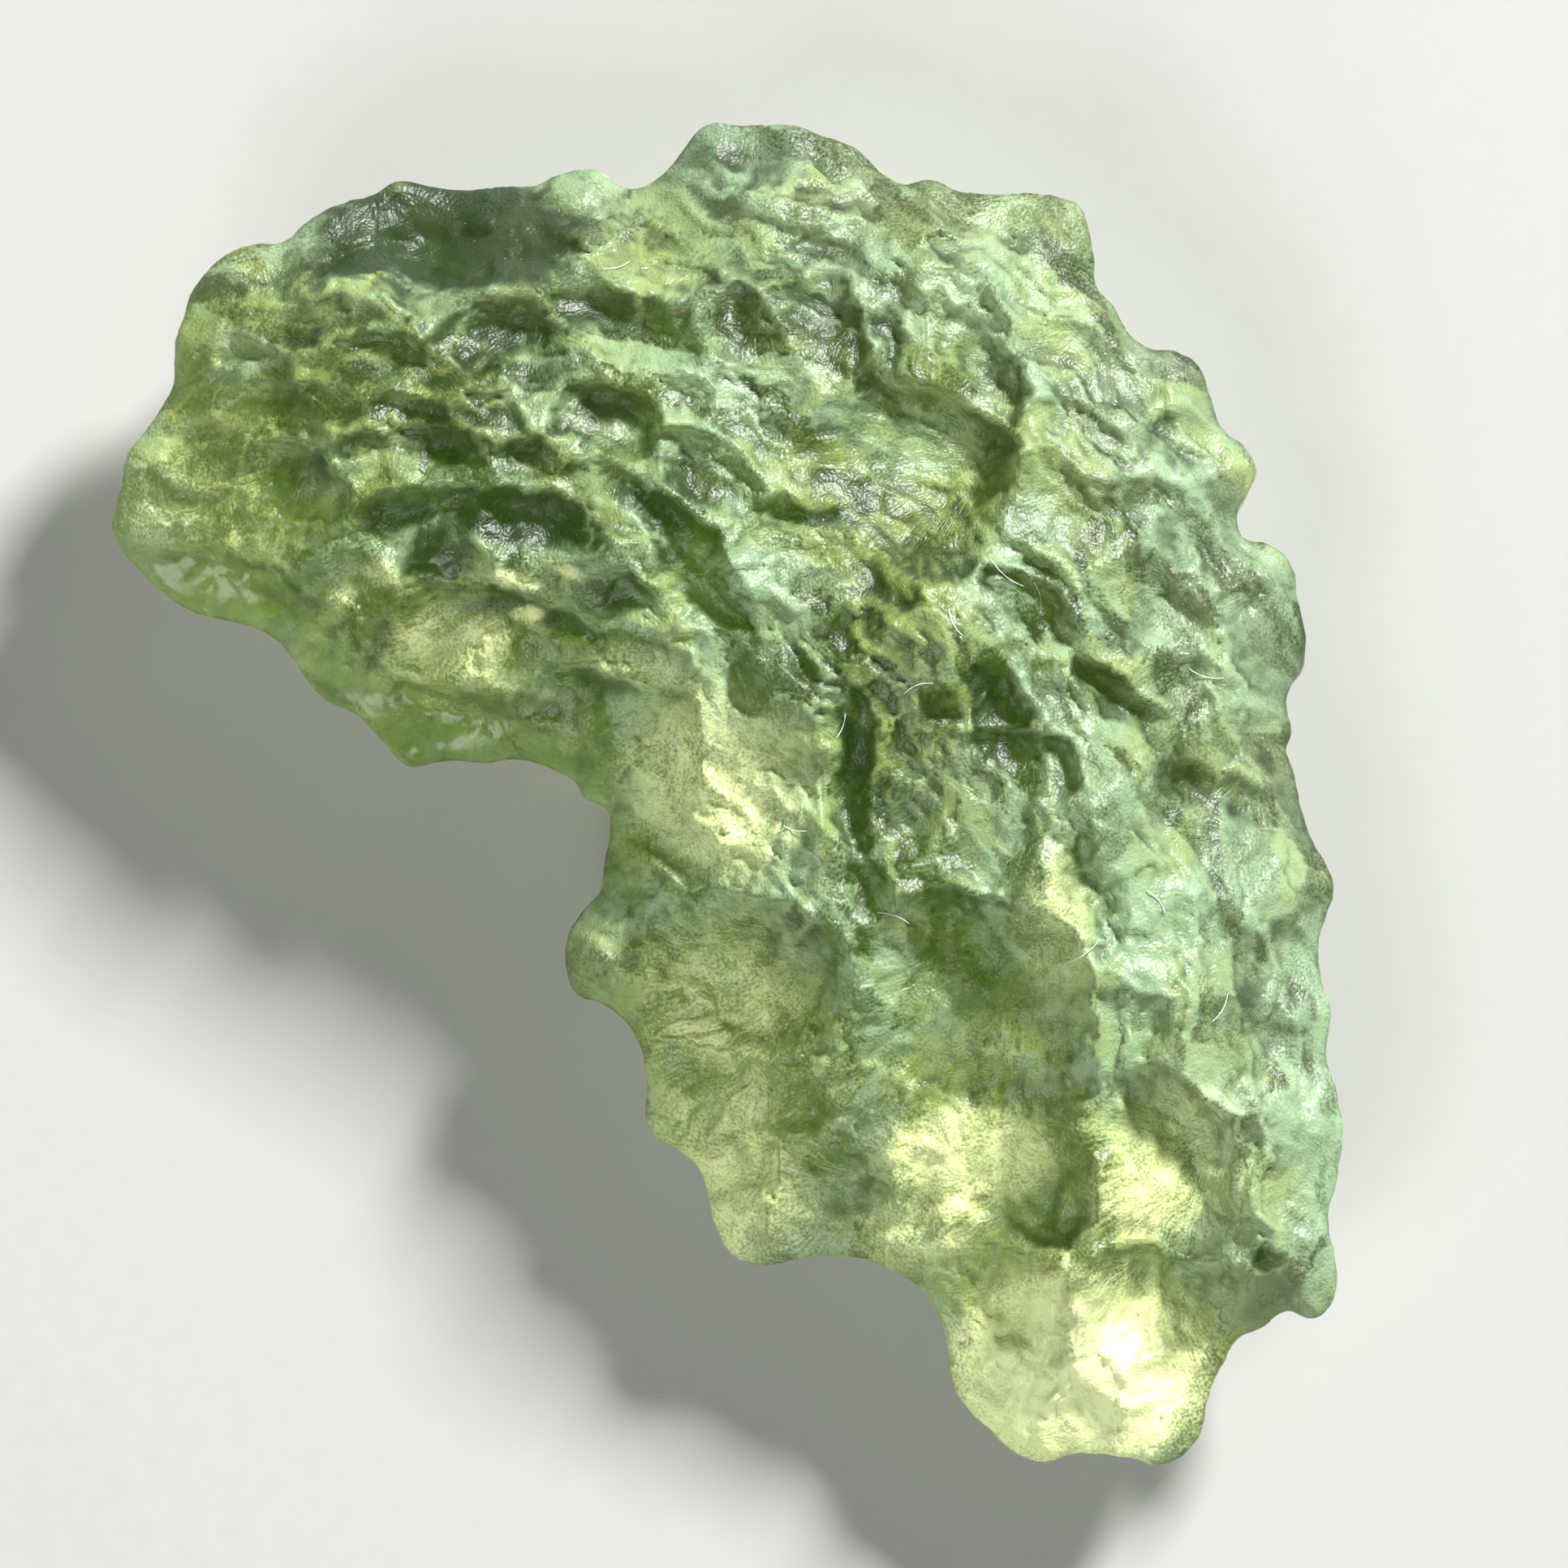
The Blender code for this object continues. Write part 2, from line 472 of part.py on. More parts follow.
def sculpt(stone):
    """Gives the flat blank the stone's top and underside."""
    count = len(stone.data.vertices)
    points = np.empty(count * 3, np.float32)
    stone.data.vertices.foreach_get("co", points)
    points = points.reshape(-1, 3).astype(float)
    x = points[:, 0] / PX + MIDDLE_PX[0]
    y = MIDDLE_PX[1] - points[:, 1] / PX
    level = np.clip((points[:, 2] - points[:, 2].min()) / np.ptp(points[:, 2]), 0, 1)

    edge = outline_distance(x, y)
    top, under = body_heights(x, y)
    middle = RIM_SHARE * top + (1 - RIM_SHARE) * under + rim_wander(x, y)
    rise = 1 - (1 - np.clip(edge * PX / RIM_REACH, 0, 1)) ** RIM_POWER
    calm = np.clip(edge / RELIEF_REACH_PX, LEAST_RELIEF, 1)
    waved_x, waved_y = waved(x, y)
    depth, wiped = scoop_depth(waved_x, waved_y)
    relief = (lump_height(waved_x, waved_y) + ledge_height(waved_x, waved_y)
              + grain_height(waved_x, waved_y, TOP_GRAIN) * (1 - wiped) - depth)
    half_rim = RIM_THICKNESS / MM / 2
    high = middle + half_rim + (top - middle - half_rim) * rise + relief * calm
    low = middle - half_rim - (middle - half_rim - under) * rise
    low -= grain_height(waved_x, waved_y, UNDER_GRAIN) * calm
    low = np.minimum(low, rest_height(x, y))
    points[:, 2] = (low + (high - low) * level) * MM
    stone.data.vertices.foreach_set("co", points.astype(np.float32).ravel())
    stone.data.update()


def thin_out(stone, triangles):
    """Collapses the even skin to this many triangles, most of them along the ridges."""
    stone.data.calc_loop_triangles()
    fewer = stone.modifiers.new("Fewer faces", "DECIMATE")
    fewer.ratio = triangles / len(stone.data.loop_triangles)
    fewer.use_collapse_triangulate = True
    return as_mesh(stone)


def wear_flat(stone):
    """Cuts the underside flat at z = 0."""
    mesh = bmesh.new()
    mesh.from_mesh(stone.data)
    everything = mesh.verts[:] + mesh.edges[:] + mesh.faces[:]
    bmesh.ops.bisect_plane(mesh, geom=everything, plane_co=(0, 0, 0), plane_no=(0, 0, 1),
                           clear_inner=True)
    bmesh.ops.holes_fill(mesh, edges=[edge for edge in mesh.edges if edge.is_boundary])
    bmesh.ops.triangulate(mesh, faces=mesh.faces[:])
    bmesh.ops.recalc_face_normals(mesh, faces=mesh.faces[:])
    mesh.to_mesh(stone.data)
    mesh.free()


def centre_on_origin(stone):
    """Moves the mesh so that the middle of its box stands over the origin."""
    points = np.array([vertex.co for vertex in stone.data.vertices])
    middle = (points.min(0) + points.max(0)) / 2
    stone.data.transform(Matrix.Translation((-middle[0], -middle[1], 0)))


def make_moldavite():
    """The whole stone."""
    stone = remesh(make_blank("moldavite"), SKIN_VOXEL)
    sculpt(stone)
    stone = thin_out(remesh(stone, SKIN_VOXEL), FINAL_TRIANGLES)
    wear_flat(stone)
    centre_on_origin(stone)
    stone.data.materials.clear()
    stone.data.materials.append(make_material("moldavite glass"))
    stone.data.shade_flat()
    return stone


clear_scene()
make_moldavite()
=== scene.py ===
"""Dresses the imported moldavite: a thumb-long piece of deeply etched green natural glass.

The stone lies on its back on a pale floor and the camera looks straight down on it. The
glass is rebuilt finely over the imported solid, its skin is etched by a node tree, and a
little dust lies in its scoops.
"""

from __future__ import annotations

import logging
import math
from dataclasses import dataclass, field
from enum import Enum
from typing import Any, Sequence

import bpy
import numpy as np
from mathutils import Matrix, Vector, bvhtree, kdtree, noise

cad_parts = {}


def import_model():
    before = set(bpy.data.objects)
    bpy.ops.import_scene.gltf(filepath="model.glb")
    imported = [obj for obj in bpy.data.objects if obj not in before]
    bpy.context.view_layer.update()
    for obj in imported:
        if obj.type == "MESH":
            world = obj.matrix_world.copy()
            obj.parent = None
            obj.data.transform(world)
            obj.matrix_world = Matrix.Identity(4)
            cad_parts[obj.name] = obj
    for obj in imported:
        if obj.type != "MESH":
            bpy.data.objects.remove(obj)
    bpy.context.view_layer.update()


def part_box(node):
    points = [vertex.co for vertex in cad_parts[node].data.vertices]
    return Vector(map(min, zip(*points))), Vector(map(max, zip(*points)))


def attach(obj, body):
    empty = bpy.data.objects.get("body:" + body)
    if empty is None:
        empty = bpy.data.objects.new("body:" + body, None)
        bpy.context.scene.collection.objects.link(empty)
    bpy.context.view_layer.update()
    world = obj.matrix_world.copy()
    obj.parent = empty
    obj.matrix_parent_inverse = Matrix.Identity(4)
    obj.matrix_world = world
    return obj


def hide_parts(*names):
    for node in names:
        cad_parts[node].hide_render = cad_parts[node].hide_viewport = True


LOG = logging.getLogger("moldavite")

MM = 0.001
NODE = "moldavite"

Points = Sequence[tuple[float, float]]
Array = np.ndarray
Colour = tuple[float, float, float, float]


@dataclass(frozen=True)
class Picture:
    """The reference picture's grid, laid over the stone as it is seen from above.

    Fields: side of the picture and longest span of the stone in pixels, that span in
    metres, and the pixel that stands over the origin.
    """

    side: float = 1932.0
    span_px: float = 1880.0
    span: float = 30.0 * MM
    middle: tuple[float, float] = (895.5, 979.5)

    @property
    def pixel(self) -> float:
        """One pixel in metres."""
        return self.span / self.span_px

    def place(self, x: float, y: float, z: float = 0.0) -> Vector:
        """A pixel as a point in metres.

        Args:
            x: Pixels from the left.
            y: Pixels from the top.
            z: Height in metres.

        Returns:
            The point.
        """
        return Vector(((x - self.middle[0]) * self.pixel, (self.middle[1] - y) * self.pixel, z))


class Value:
    """A node's output that takes part in Python arithmetic, which adds Math nodes."""

    def __init__(self, graph: Graph, socket: bpy.types.NodeSocket) -> None:
        """Keeps the socket and the tree that it belongs to."""
        self.graph = graph
        self.socket = socket

    def _math(self, operation: str, *terms: Any) -> Value:
        """One Math node on numbers or values."""
        return self.graph.node("ShaderNodeMath", {"operation": operation}, dict(enumerate(terms)))

    def __add__(self, other: Any) -> Value:
        """Sum."""
        return self._math("ADD", self, other)

    def __sub__(self, other: Any) -> Value:
        """Difference."""
        return self._math("SUBTRACT", self, other)

    def __rsub__(self, other: Any) -> Value:
        """Difference from a number."""
        return self._math("SUBTRACT", other, self)

    def __mul__(self, other: Any) -> Value:
        """Product."""
        return self._math("MULTIPLY", self, other)

    def __truediv__(self, other: Any) -> Value:
        """Quotient."""
        return self._math("DIVIDE", self, other)

    def __rtruediv__(self, other: Any) -> Value:
        """Quotient of a number."""
        return self._math("DIVIDE", other, self)

    def __pow__(self, other: Any) -> Value:
        """Power."""
        return self._math("POWER", self, other)

    __radd__ = __add__
    __rmul__ = __mul__

    def step(self, low: float, high: float, start: float = 0.0, end: float = 1.0) -> Value:
        """The value eased from one level to another.

        Args:
            low: Value at which the result starts to move.
            high: Value at which it has arrived.
            start: Result up to low.
            end: Result from high on.

        Returns:
            The eased value.
        """
        return self.graph.node("ShaderNodeMapRange", {"interpolation_type": "SMOOTHSTEP"},
                               {"Value": self, "From Min": low, "From Max": high,
                                "To Min": start, "To Max": end})


class Graph:
    """A node tree of a material or of geometry, filled through one method."""

    def __init__(self, tree: bpy.types.NodeTree) -> None:
        """Empties the tree."""
        self.tree = tree
        tree.nodes.clear()

    def node(self, kind: str, settings: dict[str, Any] | None = None,
             values: dict[Any, Any] | None = None, output: Any = 0) -> Value | None:
        """Adds a node.

        Args:
            kind: Node type.
            settings: The node's own settings.
            values: Numbers, colours or links, each under its socket's name or number.
            output: Name or number of the output to hand back, or None for an end node.

        Returns:
            That output.
        """
        node = self.tree.nodes.new(kind)
        for name, setting in (settings or {}).items():
            setattr(node, name, setting)
        for key, value in (values or {}).items():
            socket = node.inputs[key]
            if isinstance(value, Value):
                self.tree.links.new(value.socket, socket)
            else:
                socket.default_value = value
        return None if output is None else Value(self, node.outputs[output])

    def blend(self, share: Any, first: Any, second: Any) -> Value:
        """A colour between two colours.

        Args:
            share: How much of the second.
            first: Colour or link.
            second: Colour or link.

        Returns:
            The blended colour.
        """
        return self.node("ShaderNodeMix", {"data_type": "RGBA"}, {0: share, 6: first, 7: second},
                         output=2)

    def attribute(self, name: str, output: str = "Fac") -> Value:
        """What is stored at the mesh's points, for a material: Fac is a number, Vector a place."""
        return self.node("ShaderNodeAttribute", {"attribute_name": name}, output=output)

    def noise(self, place: Value, size: float, detail: float) -> Value:
        """Smooth noise about 0.5.

        Args:
            place: Coordinates in metres.
            size: Size of its blobs in metres.
            detail: Octaves on top.

        Returns:
            The noise.
        """
        return self.node("ShaderNodeTexNoise", None,
                         {"Vector": place, "Scale": 1 / size, "Detail": detail})


class GeometryTree(Graph):
    """A Geometry Nodes tree with named inputs, which ends in plain faces of one finish."""

    def __init__(self, name: str, inputs: dict[str, float | int]) -> None:
        """Makes the tree.

        Args:
            name: Name of the tree.
            inputs: What each input is called and its value.
        """
        super().__init__(bpy.data.node_groups.new(name, "GeometryNodeTree"))
        face = self.tree.interface
        face.new_socket(name="Geometry", in_out="INPUT", socket_type="NodeSocketGeometry")
        face.new_socket(name="Geometry", in_out="OUTPUT", socket_type="NodeSocketGeometry")
        self.identifiers: dict[str, str] = {}
        self.amounts = inputs
        for label, amount in inputs.items():
            kind = "NodeSocketInt" if isinstance(amount, int) else "NodeSocketFloat"
            socket = face.new_socket(name=label, in_out="INPUT", socket_type=kind)
            self.identifiers[label] = socket.identifier
        self.entry = self.tree.nodes.new("NodeGroupInput")

    def given(self, label: str) -> Value:
        """One of the tree's inputs."""
        return Value(self, self.entry.outputs[label])

    def stored(self, name: str) -> Value:
        """A number stored at the mesh's points, for a geometry tree."""
        return self.node("GeometryNodeInputNamedAttribute", {"data_type": "FLOAT"}, {"Name": name})

    def finish(self, geometry: Value, material: bpy.types.Material) -> None:
        """Ends the tree in real faces.

        Args:
            geometry: What the tree has made.
            material: Finish of its faces.
        """
        real = self.node("GeometryNodeRealizeInstances", None, {"Geometry": geometry})
        dressed = self.node("GeometryNodeSetMaterial", None,
                            {"Geometry": real, "Material": material})
        end = self.tree.nodes.new("NodeGroupOutput")
        self.tree.links.new(dressed.socket, end.inputs[0])

    def apply_to(self, thing: bpy.types.Object) -> bpy.types.Object:
        """Runs the tree on an object.

        Args:
            thing: Object that gives the geometry; it is used up.

        Returns:
            A plain mesh object of the same name.
        """
        modifier = thing.modifiers.new(self.tree.name, "NODES")
        modifier.node_group = self.tree
        for label, amount in self.amounts.items():
            modifier[self.identifiers[label]] = amount
        return plain_mesh(thing)


def plain_mesh(thing: bpy.types.Object) -> bpy.types.Object:
    """Takes an object as its modifiers leave it.

    Args:
        thing: The object; it is removed.

    Returns:
        A mesh object of the same name, without modifiers.
    """
    bpy.context.view_layer.update()
    evaluated = thing.evaluated_get(bpy.context.evaluated_depsgraph_get())
    mesh = bpy.data.meshes.new_from_object(evaluated)
    name = thing.name
    bpy.data.objects.remove(thing, do_unlink=True)
    return new_object(name, mesh)


def new_object(name: str, data: bpy.types.ID) -> bpy.types.Object:
    """Adds an object to the scene at the origin.

    Args:
        name: Name of the object.
        data: Its mesh, curve, light or camera.

    Returns:
        The object.
    """
    thing = bpy.data.objects.new(name, data)
    bpy.context.scene.collection.objects.link(thing)
    return thing


@dataclass(frozen=True)
class Station:
    """Height of the body at a place: pixels, then millimetres for the top and the underside."""

    x: float
    y: float
    top: float
    under: float


@dataclass(frozen=True)
class Ellipse:
    """A place on the stone: centre, half width and half height in pixels, and its turn in
    degrees clockwise.
    """

    x: float
    y: float
    wide: float
    high: float
    turn: float

    def inside(self, x: Array, y: Array, spread: float = 1.0) -> Array:
        """How far inside the ellipse points lie.

        Args:
            x: Pixels from the left.
            y: Pixels from the top.
            spread: How much wider than stated the ellipse is.

        Returns:
            1 at the centre, 0 at the edge and outside.
        """
        turn = math.radians(self.turn)
        dx, dy = x - self.x, y - self.y
        u = (dx * math.cos(turn) + dy * math.sin(turn)) / self.wide
        v = (dy * math.cos(turn) - dx * math.sin(turn)) / self.high
        return np.clip(1 - (u * u + v * v) / spread ** 2, 0, None)


@dataclass(frozen=True)
class Scoop(Ellipse):
    """A concave etch scar, with its depth in millimetres and the side where its wall is
    steep, in degrees anticlockwise from the right.
    """

    depth: float
    steep: float


@dataclass(frozen=True)
class Lump(Ellipse):
    """A rounded raised form, with its height in millimetres."""

    height: float


@dataclass(frozen=True)
class Ledge:
    """A step along a line, high on the left of travel: height in mm, reach and face in pixels."""

    line: Points
    height: float
    reach: float
    face: float


@dataclass(frozen=True)
class Grain:
    """Cells of small scoops: length and width in pixels, ridge height in mm, noise layer, how
    sharply the ridges stand up and how far the cells tilt as flat facets.
    """

    length: float
    width: float
    height: float
    layer: float
    power: float = 2.0
    tilt: float = 0.0


OUTLINE_PX: Points = (
    # left end, from its tip upwards
    (137, 650), (142, 625), (150, 592), (158, 556), (184, 525), (205, 493), (216, 473), (216, 445),
    (219, 412), (229, 393), (233, 370), (252, 340), (280, 314), (318, 300), (350, 298),
    # upper edge, left to right
    (378, 274), (425, 248), (458, 240), (490, 222), (520, 226), (560, 232), (625, 229), (652, 228),
    (690, 213), (732, 207), (755, 221), (777, 231), (802, 223), (832, 196), (850, 172), (870, 153),
    (920, 154), (970, 152), (1012, 165), (1050, 179), (1078, 203), (1112, 225), (1148, 219),
    (1180, 234), (1225, 238), (1275, 236), (1312, 244), (1330, 253),
    # right edge, downwards over its lobes
    (1342, 285), (1348, 318), (1350, 350), (1372, 376), (1390, 408), (1412, 427), (1455, 434),
    (1480, 454), (1492, 490), (1506, 527), (1535, 550), (1548, 575), (1540, 604), (1525, 636),
    (1534, 661), (1568, 670), (1591, 694), (1600, 735), (1610, 785), (1608, 820), (1590, 848),
    (1588, 873), (1593, 900), (1587, 924), (1598, 955), (1605, 992), (1616, 1030), (1638, 1067),
    (1646, 1092), (1634, 1133), (1625, 1172), (1629, 1205), (1641, 1247), (1635, 1300),
    (1648, 1344), (1654, 1405), (1646, 1455), (1636, 1505), (1646, 1555), (1647, 1585),
    (1636, 1612), (1618, 1624), (1586, 1614), (1560, 1634),
    # tongue, clockwise
    (1530, 1648), (1508, 1682), (1491, 1722), (1480, 1768), (1456, 1796), (1428, 1807),
    (1398, 1799), (1325, 1794), (1288, 1805), (1252, 1793), (1220, 1763), (1187, 1730),
    (1172, 1697), (1170, 1665), (1157, 1625), (1135, 1589), (1102, 1567), (1072, 1554),
    # lower left edge, upwards
    (1015, 1548), (980, 1552), (943, 1561), (905, 1549), (884, 1519), (874, 1483), (864, 1445),
    (840, 1420), (808, 1402), (796, 1380), (797, 1340), (793, 1305), (775, 1265), (745, 1238),
    (712, 1225), (699, 1203), (700, 1153), (716, 1125), (740, 1096), (744, 1065), (751, 1025),
    (748, 998), (720, 982), (710, 966), (685, 949),
    # the bay and back to the left end
    (640, 935), (600, 939), (550, 936), (500, 941), (472, 914), (440, 881), (402, 863), (378, 838),
    (360, 810), (332, 782), (297, 767), (245, 756), (205, 733), (168, 698), (148, 676),
)


STATIONS: tuple[Station, ...] = (
    Station(200, 600, 5.2, 1.8), Station(330, 420, 6.0, 1.4), Station(430, 350, 6.6, 1.3),
    Station(520, 290, 5.4, 1.8), Station(480, 450, 6.6, 0.9), Station(600, 360, 6.6, 1.2),
    Station(600, 600, 6.9, 0.6), Station(450, 720, 6.4, 0.9), Station(470, 850, 5.0, 1.6),
    Station(600, 830, 6.0, 0.9), Station(760, 400, 6.9, 0.7), Station(760, 260, 6.1, 1.4),
    Station(800, 650, 7.3, 0.5), Station(950, 230, 5.8, 1.6), Station(1000, 500, 6.5, 0.5),
    Station(1150, 330, 6.3, 1.0), Station(1290, 300, 5.6, 1.4), Station(1430, 520, 5.6, 1.3),
    Station(1130, 780, 7.2, 0.4), Station(850, 950, 6.6, 0.7), Station(1300, 700, 6.6, 0.6),
    Station(1510, 740, 5.5, 1.2), Station(1300, 1000, 7.0, 0.4), Station(1500, 950, 5.8, 0.9),
    Station(1020, 1100, 6.7, 0.5), Station(850, 1220, 5.4, 1.0), Station(1280, 1230, 6.9, 0.5),
    Station(1450, 1220, 6.5, 0.7), Station(1590, 1230, 5.2, 1.3), Station(980, 1480, 4.4, 1.3),
    Station(1180, 1420, 5.4, 0.9), Station(1400, 1430, 5.8, 0.8), Station(1560, 1480, 5.2, 1.1),
    Station(1230, 1640, 3.7, 1.5), Station(1420, 1640, 3.7, 1.5), Station(1330, 1560, 4.9, 1.1),
)


SCOOPS: tuple[Scoop, ...] = (
    # dark facets along the upper left edge
    Scoop(560, 282, 95, 62, 12, 0.55, 215), Scoop(450, 285, 70, 50, -30, 0.35, 200),
    Scoop(400, 300, 60, 35, -35, 0.25, 50), Scoop(330, 355, 66, 52, -20, 0.30, 65),
    Scoop(650, 300, 60, 48, 0, 0.20, -40), Scoop(270, 395, 45, 60, 20, 0.20, 80),
    Scoop(700, 250, 62, 36, -15, 0.20, 0),
    # rows of scoops down the left shoulder
    Scoop(370, 405, 95, 40, 8, 0.20, 65), Scoop(540, 365, 110, 26, 2, 0.15, 65),
    Scoop(640, 440, 98, 58, 18, 0.50, 65), Scoop(480, 465, 92, 44, 0, 0.30, 65),
    Scoop(285, 470, 72, 40, -4, 0.25, 65), Scoop(325, 530, 70, 48, -12, 0.25, 70),
    Scoop(520, 520, 62, 34, 10, 0.25, 75), Scoop(400, 510, 48, 32, 5, 0.15, 70),
    Scoop(545, 572, 66, 46, 14, 0.40, 75), Scoop(460, 575, 50, 36, 8, 0.30, 70),
    Scoop(355, 625, 76, 66, -8, 0.40, 55), Scoop(225, 575, 78, 50, -12, 0.20, 60),
    Scoop(245, 645, 72, 44, -8, 0.20, 60), Scoop(180, 640, 40, 60, 5, 0.15, 0),
    Scoop(600, 520, 48, 34, 20, 0.20, 65), Scoop(640, 570, 46, 38, 10, 0.25, 70),
    # smooth conchoidal chips on the lower left rim
    Scoop(262, 722, 112, 40, 14, 0.35, 60), Scoop(545, 905, 118, 52, 14, 0.45, 65),
    Scoop(440, 850, 60, 34, 30, 0.25, 0), Scoop(400, 790, 50, 36, 25, 0.20, 0),
    # rough band above the bay
    Scoop(515, 655, 92, 48, -4, 0.40, 75), Scoop(650, 660, 84, 50, -6, 0.45, 75),
    Scoop(540, 705, 52, 34, 0, 0.20, 60), Scoop(560, 780, 92, 56, -6, 0.30, 65),
    Scoop(440, 720, 60, 42, 10, 0.20, 65), Scoop(660, 800, 74, 56, -16, 0.25, 65),
    Scoop(700, 720, 60, 36, 6, 0.20, 65), Scoop(740, 620, 62, 44, 20, 0.30, 70),
    Scoop(690, 880, 76, 38, -24, 0.25, 60),
    # top lobe and the slope below it
    Scoop(895, 195, 62, 46, -20, 0.25, 55), Scoop(990, 200, 62, 34, 8, 0.15, 50),
    Scoop(820, 260, 82, 34, -6, 0.15, 50), Scoop(900, 300, 96, 36, 6, 0.15, 65),
    Scoop(690, 345, 60, 30, 14, 0.20, 65), Scoop(765, 418, 96, 62, 16, 0.55, 65),
    Scoop(850, 350, 52, 30, 12, 0.20, 70), Scoop(910, 420, 56, 66, -8, 0.35, 45),
    # upright flutes and the broad hollow in the middle
    Scoop(1000, 430, 56, 92, 4, 0.40, 20), Scoop(1092, 430, 58, 100, -10, 0.25, 10),
    Scoop(1175, 450, 66, 88, -12, 0.40, 10), Scoop(1000, 330, 70, 30, 10, 0.15, 65),
    Scoop(750, 545, 64, 56, 12, 0.45, 65), Scoop(845, 500, 40, 26, 20, 0.25, 65),
    Scoop(700, 470, 52, 30, 16, 0.20, 65), Scoop(860, 590, 74, 42, 30, 0.40, 55),
    Scoop(930, 520, 82, 78, 20, 0.25, 40), Scoop(1085, 590, 140, 112, 16, 0.75, 10),
    Scoop(1140, 560, 82, 60, 10, 0.25, 25), Scoop(860, 690, 92, 34, 48, 0.40, 50),
    Scoop(790, 640, 42, 34, 20, 0.20, 65), Scoop(870, 745, 72, 34, 40, 0.35, 55),
    Scoop(770, 740, 58, 30, 20, 0.25, 60),
    # smooth plate and rough lobes of the upper right
    Scoop(1110, 285, 96, 40, 10, 0.15, 50), Scoop(1240, 320, 112, 78, 12, 0.25, 55),
    Scoop(1320, 300, 36, 50, 10, 0.15, 0), Scoop(1300, 460, 72, 50, 16, 0.20, 60),
    Scoop(1400, 480, 66, 44, 14, 0.20, 60), Scoop(1320, 545, 76, 40, 10, 0.20, 65),
    Scoop(1440, 560, 62, 48, 14, 0.20, 50), Scoop(1295, 645, 88, 66, 22, 0.45, 65),
    Scoop(1395, 640, 50, 40, 20, 0.20, 65), Scoop(1395, 765, 88, 66, 34, 0.30, 35),
    Scoop(1460, 690, 56, 40, 30, 0.20, 50), Scoop(1545, 700, 46, 44, 0, 0.20, 60),
    Scoop(1545, 800, 62, 66, 0, 0.25, 60), Scoop(1455, 875, 62, 50, 30, 0.25, 70),
    Scoop(1530, 930, 46, 40, 0, 0.20, 60),
    # slanting band down the right side
    Scoop(1290, 770, 92, 26, 42, 0.30, 40), Scoop(1400, 900, 108, 28, 52, 0.35, 30),
    Scoop(1490, 990, 82, 34, 30, 0.30, 65), Scoop(1270, 705, 70, 18, 40, 0.20, 40),
    # centre, round the domed knob
    Scoop(1025, 720, 84, 70, 20, 0.25, 35), Scoop(960, 650, 52, 32, 20, 0.25, 65),
    Scoop(1040, 960, 36, 100, -6, 0.30, 0), Scoop(1112, 960, 44, 92, 0, 0.18, 0),
    Scoop(905, 830, 30, 60, -40, 0.25, 0), Scoop(1220, 870, 40, 56, -20, 0.40, 40),
    Scoop(1235, 935, 44, 42, 0, 0.45, 30), Scoop(1285, 945, 34, 34, 0, 0.25, 35),
    Scoop(1190, 1000, 56, 76, -22, 0.25, 0), Scoop(1160, 900, 36, 44, 0, 0.20, 35),
    # waist, beside the bay
    Scoop(800, 930, 62, 92, -16, 0.30, 60), Scoop(815, 1040, 52, 60, -4, 0.20, 35),
    Scoop(925, 950, 78, 92, -36, 0.20, -20), Scoop(930, 1075, 60, 42, 10, 0.20, 60),
    Scoop(760, 1170, 44, 44, 0, 0.15, 0),
    # dished scoops of the lower left
    Scoop(900, 1205, 132, 98, 10, 0.55, 15), Scoop(865, 1350, 80, 58, 14, 0.35, 40),
    Scoop(975, 1360, 44, 36, 20, 0.25, 0), Scoop(910, 1445, 48, 60, 10, 0.25, 20),
    Scoop(1005, 1485, 82, 62, -10, 0.30, 30), Scoop(900, 1520, 40, 40, 0, 0.15, 0),
    # the round scoop of the lower centre and the hollow under it
    Scoop(1070, 1100, 40, 36, 10, 0.30, 65), Scoop(1180, 1275, 150, 158, 0, 0.80, 50),
    Scoop(1215, 1445, 112, 92, 16, 0.50, 5), Scoop(1110, 1420, 72, 70, 0, 0.20, 0),
    Scoop(1245, 1205, 48, 48, 0, 0.20, 0), Scoop(1100, 1500, 82, 34, -24, 0.20, 50),
    # lobes of the lower right
    Scoop(1330, 1100, 50, 80, -20, 0.20, 0), Scoop(1450, 1060, 96, 66, 30, 0.20, 25),
    Scoop(1375, 1285, 56, 58, 0, 0.25, 40), Scoop(1475, 1170, 72, 66, 20, 0.20, 50),
    Scoop(1590, 1080, 52, 50, 0, 0.15, 50), Scoop(1575, 1200, 60, 60, 0, 0.20, 50),
    Scoop(1520, 1290, 66, 60, 20, 0.20, 25), Scoop(1410, 1440, 98, 112, -6, 0.60, 20),
    Scoop(1500, 1430, 46, 52, 0, 0.25, 15), Scoop(1600, 1330, 50, 60, 0, 0.20, 40),
    Scoop(1600, 1450, 46, 60, 0, 0.20, 0), Scoop(1548, 1546, 26, 18, 10, 0.30, 0),
    Scoop(1600, 1570, 40, 40, 0, 0.20, 0), Scoop(1500, 1520, 60, 30, 10, 0.20, 60),
    # thin tongue
    Scoop(1232, 1610, 82, 96, -10, 0.26, 30), Scoop(1245, 1720, 60, 62, 0, 0.14, 0),
    Scoop(1425, 1625, 92, 88, 8, 0.40, 95), Scoop(1420, 1730, 74, 56, 0, 0.20, 0),
    Scoop(1340, 1760, 46, 36, 0, 0.20, 0),
)


